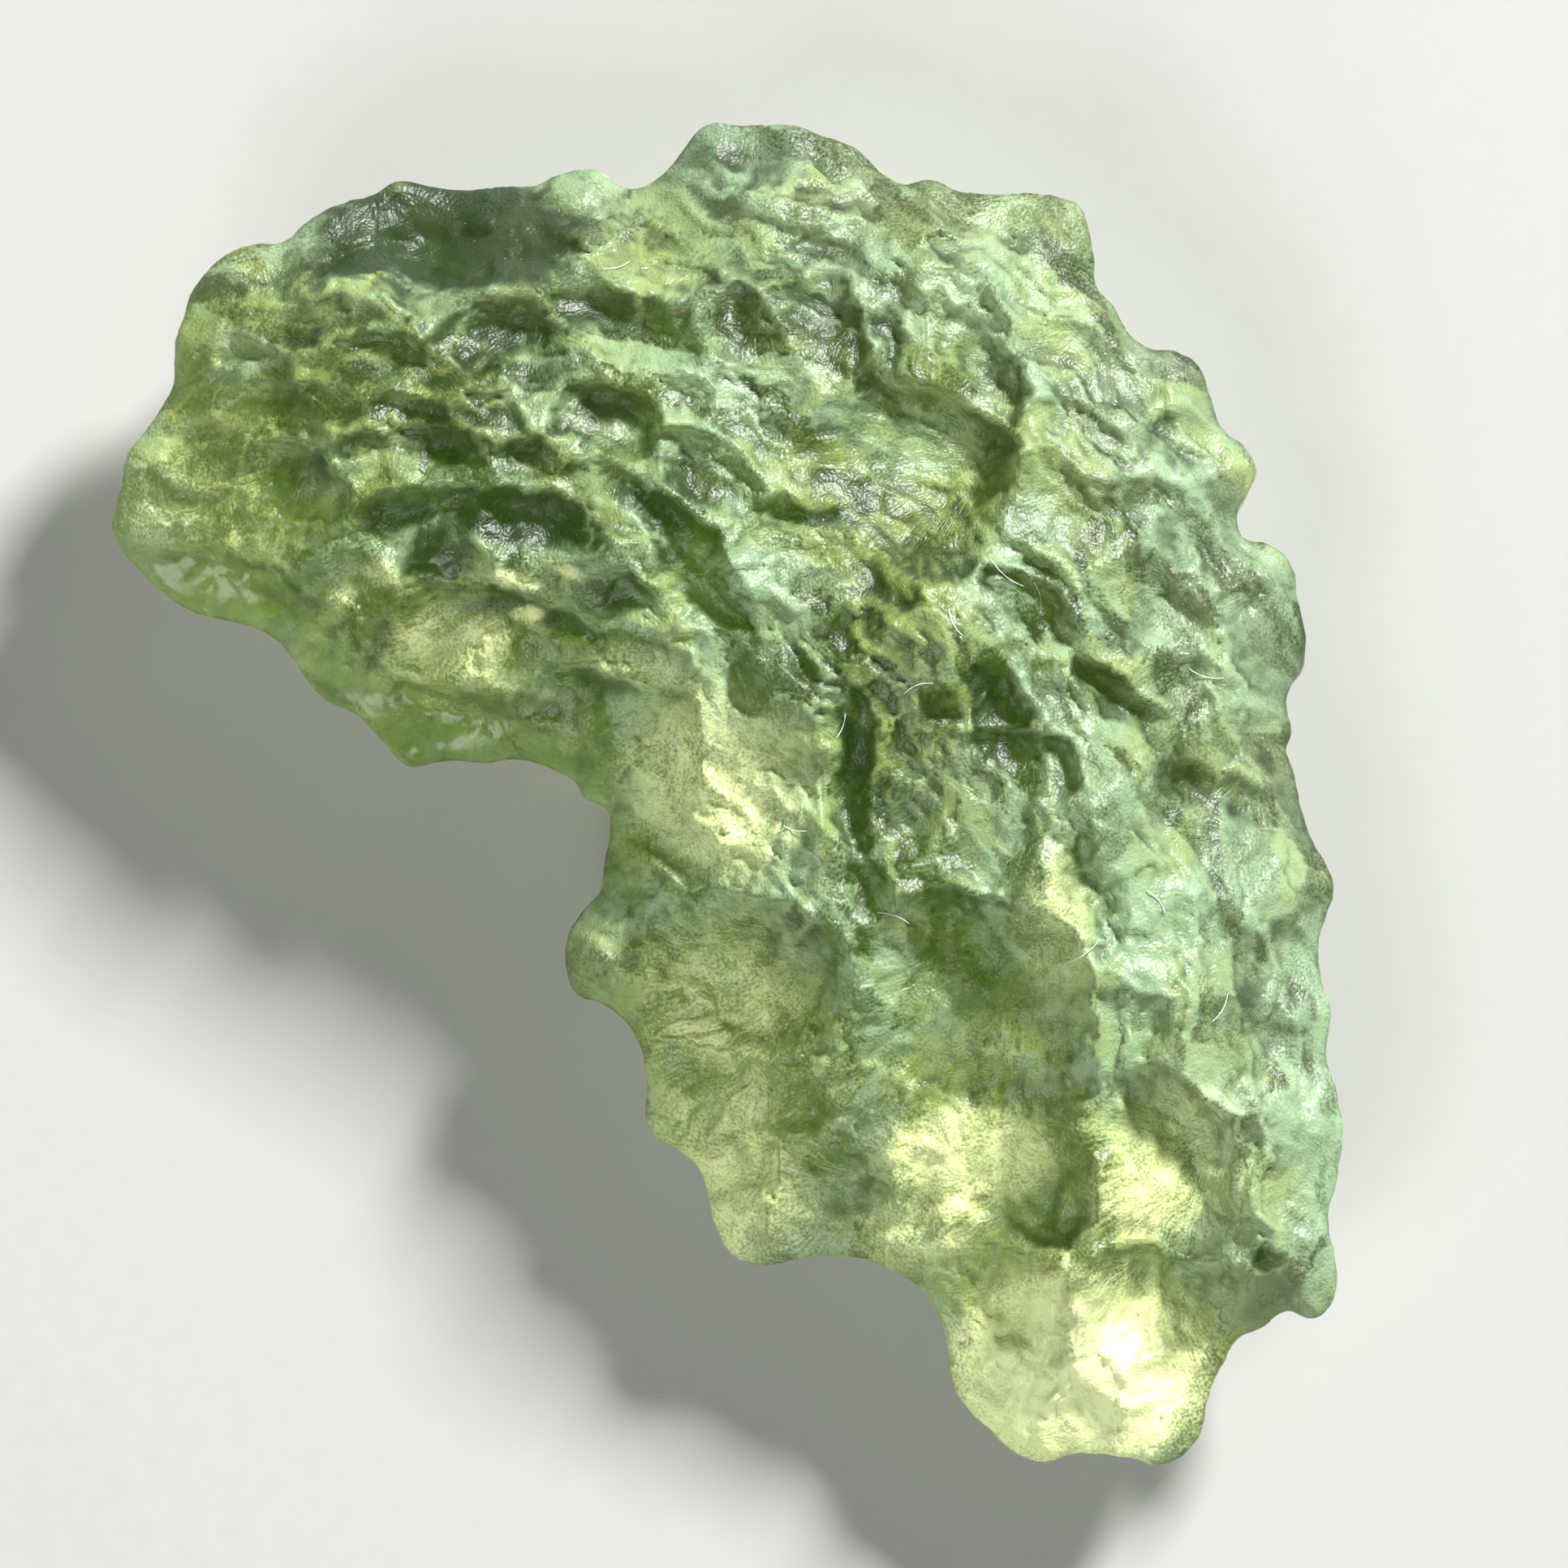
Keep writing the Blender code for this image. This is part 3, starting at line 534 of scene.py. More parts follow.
LUMPS: tuple[Lump, ...] = (
    Lump(1150, 780, 84, 100, -8, 0.50), Lump(980, 880, 34, 128, -34, 0.35),
    Lump(960, 835, 26, 76, -28, 0.20), Lump(1220, 740, 30, 70, -48, 0.30),
    Lump(1010, 745, 52, 44, 0, 0.20), Lump(1125, 1100, 38, 30, 10, 0.25),
    Lump(1172, 1092, 28, 24, 0, 0.20), Lump(495, 278, 30, 24, 0, 0.25),
    Lump(1150, 460, 44, 40, 0, 0.20), Lump(718, 1170, 40, 40, 0, 0.25),
    Lump(1300, 1150, 54, 128, -14, 0.35), Lump(1330, 1640, 36, 120, 0, 0.12),
)


LEDGES: tuple[Ledge, ...] = (
    # right-hand wall of the broad hollow
    Ledge(((1222, 415), (1243, 480), (1243, 530), (1225, 575), (1213, 630), (1205, 690)),
          0.7, 85, 14),
    # wall between the round scoop and the lower right lobe
    Ledge(((1318, 1250), (1328, 1330), (1318, 1400), (1318, 1470), (1330, 1545)), 0.6, 80, 16),
    # stair of the lower right lobe
    Ledge(((1405, 1330), (1450, 1370), (1465, 1400), (1475, 1440), (1500, 1470), (1540, 1475),
           (1555, 1530)), 0.5, 55, 12),
    # long slanting plate, above the round scoop
    Ledge(((1150, 950), (1170, 990), (1210, 1050), (1240, 1080), (1275, 1130), (1285, 1215)),
          0.5, 65, 16),
    # under the broad hollow, and the stripe below it
    Ledge(((840, 550), (880, 598), (930, 620), (985, 632), (1070, 655)), 0.6, 60, 16),
    Ledge(((790, 630), (880, 690), (925, 745), (960, 800)), 0.5, 50, 16),
    # long groove down the right side
    Ledge(((1270, 715), (1340, 820), (1400, 900), (1440, 950), (1510, 1005)), 0.45, 55, 14),
    # crest under the dark facets of the upper left
    Ledge(((660, 352), (560, 350), (500, 362), (450, 357), (400, 340), (325, 300)), 0.6, 60, 18),
    Ledge(((430, 395), (500, 378), (650, 382), (700, 420)), 0.3, 40, 14),
    Ledge(((215, 470), (300, 478), (350, 515)), 0.25, 40, 14),
    # right of the rough lobes
    Ledge(((1320, 600), (1400, 640), (1420, 690), (1475, 745)), 0.35, 45, 12),
    # walls of the upright flutes
    Ledge(((1106, 365), (1118, 440), (1108, 525)), 0.4, 50, 14),
    Ledge(((1000, 330), (1075, 395), (1110, 370), (1170, 385), (1232, 430)), 0.35, 45, 14),
    # dark groove left of the flat green stretch, high on its left side
    Ledge(((1040, 1060), (1045, 900), (1025, 800)), 0.35, 40, 14),
    # brow above the tongue
    Ledge(((1510, 1548), (1380, 1525), (1330, 1545), (1180, 1480), (1040, 1540)), 0.45, 60, 18),
)


WAVES = ((20.0, 90.0, 1.5), (9.0, 34.0, 3.5), (3.5, 14.0, 9.5))
WAVE_LAYERS_APART = 6.0
RIM_WANDER = (0.9, 310.0, 40.5)
TOP_GRAIN = (Grain(120, 62, 0.46, 0.5, 2.0, 0.6),)
TOP_CRUMB = (Grain(56, 32, 0.14, 5.5, 1.3, 1.6), Grain(27, 17, 0.07, 11.5, 1.1, 1.6))
UNDER_GRAIN = (Grain(260, 190, 0.85, 20.5), Grain(110, 70, 0.35, 24.5))
UNDER_CRUMB = (Grain(52, 38, 0.12, 27.5, 1.5, 2.0),)
FACETS = (Grain(74, 44, 1.0, 61.5), Grain(30, 20, 0.7, 66.5))
REST_PX = (1050.0, 860.0, 105.0)


@dataclass(frozen=True)
class Outline:
    """The stone's edge seen from above: a smooth closed line through listed points."""

    picture: Picture = Picture()
    points: Points = OUTLINE_PX
    steps: int = 6

    def blank(self, name: str, thickness: float) -> bpy.types.Object:
        """Makes a flat plate of this outline.

        Args:
            name: Name of the object.
            thickness: Thickness in metres, from z = 0 up.

        Returns:
            The plate, still a curve.
        """
        curve = bpy.data.curves.new(name, "CURVE")
        curve.dimensions, curve.fill_mode = "2D", "BOTH"
        curve.extrude, curve.resolution_u = thickness / 2, self.steps
        spline = curve.splines.new("BEZIER")
        spline.bezier_points.add(len(self.points) - 1)
        for knot, (x, y) in zip(spline.bezier_points, self.points):
            knot.co = self.picture.place(x, y, thickness / 2)
            knot.handle_left_type = knot.handle_right_type = "AUTO"
        spline.use_cyclic_u = True
        return new_object(name, curve)

    def distance(self, x: Array, y: Array) -> Array:
        """How far points lie from the edge.

        Args:
            x: Pixels from the left.
            y: Pixels from the top.

        Returns:
            Distances in pixels.
        """
        knots = np.array(self.points, float)
        before, after, beyond = (np.roll(knots, shift, 0) for shift in (1, -1, -2))
        line = [0.5 * (2 * knots + (after - before) * t
                       + (2 * before - 5 * knots + 4 * after - beyond) * t ** 2
                       + (3 * knots - before - 3 * after + beyond) * t ** 3)
                for t in np.arange(self.steps) / self.steps]
        tree = kdtree.KDTree(len(knots) * self.steps)
        for i, (px, py) in enumerate(np.concatenate(line)):
            tree.insert((px, py, 0), i)
        tree.balance()
        return np.array([tree.find((px, py, 0))[2] for px, py in zip(x, y)])


@dataclass(frozen=True)
class Relief:
    """Heights of the stone's two faces over each pixel, in millimetres.

    Fields: thickness of the rim in mm, how far in from the edge the faces keep rising in
    pixels, where the rim stands between the faces and how steeply they rise; how wide the
    stations blend in pixels and how flat each is at its middle; how far the scoops reach past
    their stated size, how they dish and how deep they go; the depths at which a scoop wipes
    out the small ones and carries full streaks, the gap in depth at which a seam between two
    has ended, and how much crumb is wiped away; how far from the edge the relief fades in and
    how much is left at the edge; how fast the worn flat rises around itself; the ring that the
    small scoops run along; and height, width, length and starting place of the streaks.
    """

    outline: Outline = Outline()
    rim: float = 0.7
    rim_reach: float = 263.2
    rim_share: float = 0.45
    rim_power: float = 2.2
    station_blend: float = 95.0
    station_core: float = 0.3
    spread: float = 1.2
    bowl_power: float = 0.68
    scoop_gain: float = 1.25
    wiping_depth: float = 0.6
    streaked_depth: float = 0.3
    seam_depth: float = 0.09
    crumb_wiped: float = 0.65
    calm_reach: float = 60.0
    least_relief: float = 0.15
    rest_rise: float = 0.5
    flow_centre: tuple[float, float] = (430.0, 1500.0)
    flow_radius: float = 900.0
    streak_height: float = 0.06
    streak_width: float = 17.0
    streak_length: float = 75.0
    fan_reach: float = 0.95

    def noise(self, x: Array, y: Array, layer: Array | float) -> Array:
        """Smooth noise from -1 to 1.

        Args:
            x: Across.
            y: Down.
            layer: Which slice of the noise.

        Returns:
            The noise at each point.
        """
        layers = np.broadcast_to(layer, x.shape)
        return np.array([noise.noise(Vector(point)) for point in zip(x, y, layers)])

    def waved(self, x: Array, y: Array) -> tuple[Array, Array]:
        """Points moved by noise, so that no scar keeps a drawn outline.

        Args:
            x: Pixels from the left.
            y: Pixels from the top.

        Returns:
            The moved points.
        """
        moved_x, moved_y = x.copy(), y.copy()
        for far, size, layer in WAVES:
            moved_x += far * self.noise(x / size, y / size, layer)
            moved_y += far * self.noise(x / size, y / size, layer + WAVE_LAYERS_APART)
        return moved_x, moved_y

    def body(self, x: Array, y: Array) -> tuple[Array, Array]:
        """Top and underside of the smooth body, blended from the stations.

        Args:
            x: Pixels from the left.
            y: Pixels from the top.

        Returns:
            Both heights.
        """
        weight, top, under = np.zeros_like(x), np.zeros_like(x), np.zeros_like(x)
        for station in STATIONS:
            square = ((x - station.x) ** 2 + (y - station.y) ** 2) / self.station_blend ** 2
            near = 1 / (square + self.station_core) ** 2
            weight, top = weight + near, top + near * station.top
            under = under + near * station.under
        return top / weight, under / weight

    def flow(self, x: Array, y: Array) -> tuple[Array, Array]:
        """Places along and across the lines in which the stone's relief runs, in pixels."""
        dx, dy = x - self.flow_centre[0], y - self.flow_centre[1]
        return np.arctan2(dy, dx) * self.flow_radius, np.hypot(dx, dy)

    def scooped(self, x: Array, y: Array) -> tuple[Array, Array, Array, Array]:
        """What the scoops take away.

        Args:
            x: Pixels from the left.
            y: Pixels from the top.

        Returns:
            Depth, how far the small scoops are wiped away, how strongly streaks run down
            each scoop's wall, and a row of three coordinates that follows the streaks.
        """
        depth, second, wiped, streaked = (np.zeros_like(x) for _ in range(4))
        along, across = self.flow(x, y)
        ring_x, ring_y = across / self.streak_width, np.zeros_like(x)
        out = along / self.streak_length
        for scoop in SCOOPS:
            inside = scoop.inside(x, y, self.spread)
            bowl = inside ** self.bowl_power
            steep = math.radians(scoop.steep)
            dx, dy = x - scoop.x, y - scoop.y
            towards = dx * math.cos(steep) / scoop.wide - dy * math.sin(steep) / scoop.high
            here = self.scoop_gain * scoop.depth * bowl * np.clip(1 + towards, 0, 2)
            deeper = here > depth
            fan_x = dx - self.fan_reach * scoop.wide * math.cos(steep)
            fan_y = dy + self.fan_reach * scoop.high * math.sin(steep)
            away = np.maximum(np.hypot(fan_x, fan_y), 1e-6)
            ring = (scoop.wide + scoop.high) / self.streak_width
            ring_x = np.where(deeper, ring * fan_x / away + scoop.x, ring_x)
            ring_y = np.where(deeper, ring * fan_y / away + scoop.y, ring_y)
            out = np.where(deeper, away / self.streak_length, out)
            wall = np.sqrt(inside * (1 - inside)) * 2 * min(scoop.depth / self.streaked_depth, 1)
            streaked = np.where(deeper, wall, streaked)
            second = np.maximum(second, np.minimum(depth, here))
            depth = np.maximum(depth, here)
            wiped = np.maximum(wiped, bowl * min(scoop.depth / self.wiping_depth, 1))
        streaked *= np.clip((depth - second) / self.seam_depth, 0, 1)
        return depth, wiped, streaked, np.stack((ring_x, ring_y, out), 1)

    def lumps(self, x: Array, y: Array) -> Array:
        """Height of the highest lump at each pixel."""
        return np.max([lump.height * lump.inside(x, y) for lump in LUMPS], axis=0)

    def ledges(self, x: Array, y: Array) -> Array:
        """What the ledges add: half a step up on one side and half a step down on the other.

        Args:
            x: Pixels from the left.
            y: Pixels from the top.

        Returns:
            Height in millimetres.
        """
        height = np.zeros_like(x)
        for ledge in LEDGES:
            line = np.array(ledge.line, float)
            legs = line[1:] - line[:-1]
            lengths = np.hypot(legs[:, 0], legs[:, 1])
            starts = np.concatenate(([0.0], np.cumsum(lengths)))
            near = np.full(x.shape, np.inf)
            side, along = np.zeros_like(x), np.zeros_like(x)
            for (ax, ay), (lx, ly), length, start in zip(line, legs, lengths, starts):
                t = np.clip(((x - ax) * lx + (y - ay) * ly) / length ** 2, 0, 1)
                away = np.hypot(x - ax - t * lx, y - ay - t * ly)
                closer = away < near
                near = np.where(closer, away, near)
                side = np.where(closer, np.sign(ly * (x - ax) - lx * (y - ay)), side)
                along = np.where(closer, (start + t * length) / starts[-1], along)
            step = np.tanh(side * near / ledge.face) * np.exp(-near / ledge.reach)
            height += 0.5 * ledge.height * step * np.sqrt(np.sin(np.pi * along))
        return height

    def grain(self, x: Array, y: Array, grains: tuple[Grain, ...]) -> Array:
        """Ridges between small scoops that run along the flow of the stone.

        Args:
            x: Pixels from the left.
            y: Pixels from the top.
            grains: Sizes of cell.

        Returns:
            Height in millimetres.
        """
        height = np.zeros_like(x)
        for grain in grains:
            away, tilt, _ = self.cells(x, y, grain)
            height += grain.height * (away ** grain.power + grain.tilt * tilt)
        return height

    def cells(self, x: Array, y: Array, grain: Grain) -> tuple[Array, Array, Array]:
        """The cells of one grain, drawn out along the flow of the stone.

        Args:
            x: Pixels from the left.
            y: Pixels from the top.
            grain: Size of cell.

        Returns:
            How far each point lies from its cell's middle, how high the cell's tilted plane
            stands there, and rows of three numbers from -0.5 to 0.5 that are the cell's own.
        """
        along, across = self.flow(x, y)
        half = Vector((0.5, 0.5, 0.5))
        rows = np.empty((len(x), 5))
        for row, a, b in zip(rows, along / grain.length, across / grain.width):
            place = Vector((a, b, grain.layer))
            distances, middles = noise.voronoi(place)
            own = noise.cell_vector(middles[0]) - half
            row[:] = (distances[0], own.dot(place - middles[0]), *own)
        return rows[:, 0], rows[:, 1], rows[:, 2:]

    def rest(self, x: Array, y: Array) -> Array:
        """Height of the worn bulge that the stone rests on, at each pixel."""
        rest_x, rest_y, radius = REST_PX
        return self.rest_rise * (((x - rest_x) ** 2 + (y - rest_y) ** 2) / radius ** 2 - 1)

    def faces(self, x: Array, y: Array) -> tuple[Array, Array]:
        """Both faces of the stone.

        Args:
            x: Pixels from the left.
            y: Pixels from the top.

        Returns:
            Heights of the top and of the underside.
        """
        edge = self.outline.distance(x, y)
        top, under = self.body(x, y)
        far, size, layer = RIM_WANDER
        middle = (self.rim_share * top + (1 - self.rim_share) * under
                  + far * self.noise(x / size, y / size, layer))
        rise = 1 - (1 - np.clip(edge / self.rim_reach, 0, 1)) ** self.rim_power
        calm = np.clip(edge / self.calm_reach, self.least_relief, 1)
        x_waved, y_waved = self.waved(x, y)
        depth, wiped, streaked, streaks = self.scooped(x_waved, y_waved)
        relief = (self.lumps(x_waved, y_waved) + self.ledges(x_waved, y_waved) - depth
                  + self.grain(x_waved, y_waved, TOP_GRAIN) * (1 - wiped)
                  + self.grain(x_waved, y_waved, TOP_CRUMB) * (1 - self.crumb_wiped * wiped)
                  + self.streak_height * streaked * self.noise(*streaks.T))
        half = self.rim / 2
        high = middle + half + (top - middle - half) * rise + relief * calm
        low = middle - half - (middle - half - under) * rise
        low -= self.grain(x_waved, y_waved, UNDER_GRAIN + UNDER_CRUMB) * calm
        return high, np.minimum(low, self.rest(x, y))


class Mark(Enum):
    """What is stored at the stone's points for its finish to read."""

    POLISH = "polish"
    WARMTH = "warmth"
    MILK = "milk"
    # painted shade: how far the skin is darkened as if shade fell on it
    PAINTED_SHADE = "shade"
    # painted glow: how far the skin is lightened as if light shone through it
    GLOW = "glow"
    STREAKED = "streaked"


STREAKS = "streaks"


@dataclass(frozen=True)
class Patch(Ellipse):
    """A soft area of the top where the finish changes: which mark and by how much."""

    mark: Mark
    amount: float


PATCHES: tuple[Patch, ...] = (
    # glassy chips and smooth facets
    Patch(262, 722, 135, 52, 14, Mark.POLISH, 1.6), Patch(545, 900, 140, 66, 14, Mark.POLISH, 1.6),
    Patch(440, 850, 75, 45, 30, Mark.POLISH, 1.2), Patch(530, 700, 60, 34, -10, Mark.POLISH, 0.7),
    Patch(360, 640, 70, 60, 0, Mark.POLISH, 0.6), Patch(640, 310, 60, 40, 0, Mark.POLISH, 0.5),
    Patch(975, 1365, 50, 40, 0, Mark.POLISH, 1.2), Patch(900, 1340, 150, 230, 0, Mark.POLISH, 0.4),
    Patch(1545, 770, 70, 110, 0, Mark.POLISH, 0.5),
    Patch(1330, 1680, 200, 160, 0, Mark.POLISH, 0.45),
    # olive and yellow glass
    Patch(250, 610, 160, 140, 0, Mark.WARMTH, 0.4), Patch(360, 650, 70, 60, 0, Mark.WARMTH, 0.6),
    Patch(560, 790, 150, 80, 0, Mark.WARMTH, 0.6), Patch(900, 1230, 170, 130, 0, Mark.WARMTH, 0.6),
    Patch(900, 1400, 130, 160, 0, Mark.WARMTH, 0.6),
    Patch(1090, 600, 170, 150, 0, Mark.WARMTH, 0.35),
    Patch(1210, 1400, 150, 150, 0, Mark.WARMTH, 0.5),
    Patch(1410, 1440, 110, 110, 0, Mark.WARMTH, 0.5),
    Patch(1330, 1660, 220, 170, 0, Mark.WARMTH, 0.5),
    Patch(1100, 860, 130, 220, 0, Mark.WARMTH, 0.6),
    Patch(430, 480, 260, 190, 10, Mark.WARMTH, 0.5),
    # bluish rim
    Patch(1560, 770, 80, 150, 0, Mark.WARMTH, -0.5),
    Patch(1630, 1350, 70, 260, 0, Mark.WARMTH, -0.5),
    Patch(930, 180, 130, 60, 0, Mark.WARMTH, -0.4), Patch(560, 280, 160, 80, 0, Mark.WARMTH, -0.4),
    # how milky the skin is
    Patch(1370, 520, 180, 130, 10, Mark.MILK, 0.3), Patch(925, 970, 110, 170, -20, Mark.MILK, 0.25),
    Patch(1380, 1170, 200, 280, -20, Mark.MILK, 0.3), Patch(730, 1170, 60, 60, 0, Mark.MILK, 0.2),
    Patch(540, 290, 170, 80, 0, Mark.MILK, 0.35), Patch(890, 1330, 170, 230, 0, Mark.MILK, -0.3),
    Patch(230, 640, 150, 130, 0, Mark.MILK, -0.2), Patch(540, 830, 220, 110, 10, Mark.MILK, -0.25),
    # painted shade on dark facets, scoop walls and pits
    Patch(560, 284, 180, 84, 6, Mark.PAINTED_SHADE, 2.6), Patch(440, 300, 90, 50, -30, Mark.PAINTED_SHADE, 1.2),
    Patch(330, 345, 60, 34, -10, Mark.PAINTED_SHADE, 0.6), Patch(770, 385, 90, 34, 10, Mark.PAINTED_SHADE, 0.8),
    Patch(640, 410, 80, 30, 12, Mark.PAINTED_SHADE, 0.7), Patch(750, 505, 60, 26, 8, Mark.PAINTED_SHADE, 0.7),
    Patch(545, 545, 50, 24, 10, Mark.PAINTED_SHADE, 0.7), Patch(620, 640, 130, 36, -4, Mark.PAINTED_SHADE, 0.9),
    Patch(540, 700, 60, 28, -10, Mark.PAINTED_SHADE, 0.7), Patch(850, 590, 70, 34, 28, Mark.PAINTED_SHADE, 0.8),
    Patch(890, 190, 46, 30, 0, Mark.PAINTED_SHADE, 0.6), Patch(375, 590, 50, 34, 0, Mark.PAINTED_SHADE, 0.7),
    Patch(1220, 500, 26, 90, 0, Mark.PAINTED_SHADE, 0.5), Patch(740, 850, 110, 34, -30, Mark.PAINTED_SHADE, 0.6),
    Patch(800, 960, 60, 110, -16, Mark.PAINTED_SHADE, 0.35), Patch(1225, 880, 36, 60, -10, Mark.PAINTED_SHADE, 0.7),
    Patch(1400, 880, 150, 26, 50, Mark.PAINTED_SHADE, 0.6), Patch(1500, 980, 90, 40, 30, Mark.PAINTED_SHADE, 0.6),
    Patch(1060, 960, 26, 100, -4, Mark.PAINTED_SHADE, 0.5), Patch(1110, 960, 60, 110, 0, Mark.PAINTED_SHADE, 0.25),
    Patch(980, 1190, 44, 90, 0, Mark.PAINTED_SHADE, 0.5), Patch(1190, 1190, 90, 40, 20, Mark.PAINTED_SHADE, 0.5),
    Patch(1210, 1340, 120, 34, 0, Mark.PAINTED_SHADE, 0.6), Patch(870, 1320, 70, 34, 20, Mark.PAINTED_SHADE, 0.5),
    Patch(1440, 1400, 30, 90, -30, Mark.PAINTED_SHADE, 0.5), Patch(1545, 1547, 26, 16, 10, Mark.PAINTED_SHADE, 1.0),
    Patch(1395, 640, 90, 30, 30, Mark.PAINTED_SHADE, 0.4), Patch(1080, 440, 40, 90, 0, Mark.PAINTED_SHADE, 0.5),
    # painted shade on the dark facets and pits of the rough band
    Patch(655, 650, 95, 32, 6, Mark.PAINTED_SHADE, 1.5), Patch(543, 694, 52, 44, -20, Mark.PAINTED_SHADE, 1.3),
    Patch(747, 735, 44, 22, 16, Mark.PAINTED_SHADE, 1.5), Patch(488, 641, 58, 20, -8, Mark.PAINTED_SHADE, 1.2),
    Patch(805, 622, 70, 34, 30, Mark.PAINTED_SHADE, 1.0), Patch(612, 748, 60, 12, -4, Mark.PAINTED_SHADE, 1.4),
    Patch(470, 790, 16, 44, 24, Mark.PAINTED_SHADE, 1.4), Patch(700, 770, 60, 16, 20, Mark.PAINTED_SHADE, 0.9),
    Patch(640, 870, 90, 26, 16, Mark.PAINTED_SHADE, 0.9),
    # painted light on the bright beads of the rough band
    Patch(640, 717, 44, 16, 8, Mark.GLOW, 1.0), Patch(655, 757, 24, 13, 0, Mark.GLOW, 1.0),
    Patch(474, 708, 30, 22, 30, Mark.GLOW, 0.8), Patch(425, 738, 26, 20, 0, Mark.GLOW, 0.7),
    Patch(700, 705, 34, 12, 24, Mark.GLOW, 0.8), Patch(778, 818, 74, 34, 10, Mark.GLOW, 0.7),
    Patch(520, 800, 40, 46, 0, Mark.GLOW, 0.4), Patch(600, 790, 40, 40, 0, Mark.GLOW, 0.4),
    # painted glow on thin glass, as if light shone through it
    Patch(1330, 1690, 200, 170, 0, Mark.GLOW, 1.2), Patch(1130, 1520, 110, 60, 0, Mark.GLOW, 0.7),
    Patch(1190, 1420, 140, 80, 0, Mark.GLOW, 0.6), Patch(725, 1165, 50, 50, 0, Mark.GLOW, 0.3),
    Patch(920, 1480, 90, 90, 0, Mark.GLOW, 0.4), Patch(1540, 580, 30, 40, 0, Mark.GLOW, 0.35),
    Patch(1400, 1480, 90, 60, 0, Mark.GLOW, 0.4), Patch(1230, 250, 150, 60, 0, Mark.GLOW, 0.3),
    Patch(880, 970, 150, 160, -20, Mark.GLOW, 0.8), Patch(910, 1400, 170, 230, 0, Mark.GLOW, 0.65),
    Patch(880, 1210, 150, 110, 0, Mark.GLOW, 0.5), Patch(1440, 1430, 150, 150, 0, Mark.GLOW, 0.5),
    Patch(560, 860, 190, 90, 10, Mark.GLOW, 0.45), Patch(1190, 1430, 150, 80, 0, Mark.GLOW, 0.4),
    Patch(1330, 1690, 170, 130, 0, Mark.GLOW, 0.8), Patch(560, 780, 120, 60, 0, Mark.GLOW, 0.5),
    Patch(250, 620, 160, 150, 0, Mark.GLOW, 0.4), Patch(1290, 1140, 70, 130, -14, Mark.GLOW, 0.55),
    # painted shade, deeper green over broad areas
    Patch(560, 470, 240, 160, 12, Mark.PAINTED_SHADE, 0.75), Patch(980, 430, 160, 150, 0, Mark.PAINTED_SHADE, 0.55),
    Patch(1370, 520, 190, 150, 10, Mark.PAINTED_SHADE, 0.4),
    Patch(1110, 900, 140, 220, 0, Mark.PAINTED_SHADE, 0.45),
    Patch(1080, 610, 170, 130, 10, Mark.PAINTED_SHADE, 0.4),
    Patch(1080, 760, 160, 120, 0, Mark.PAINTED_SHADE, 0.35),
    Patch(600, 640, 220, 70, 0, Mark.PAINTED_SHADE, 0.25),
)


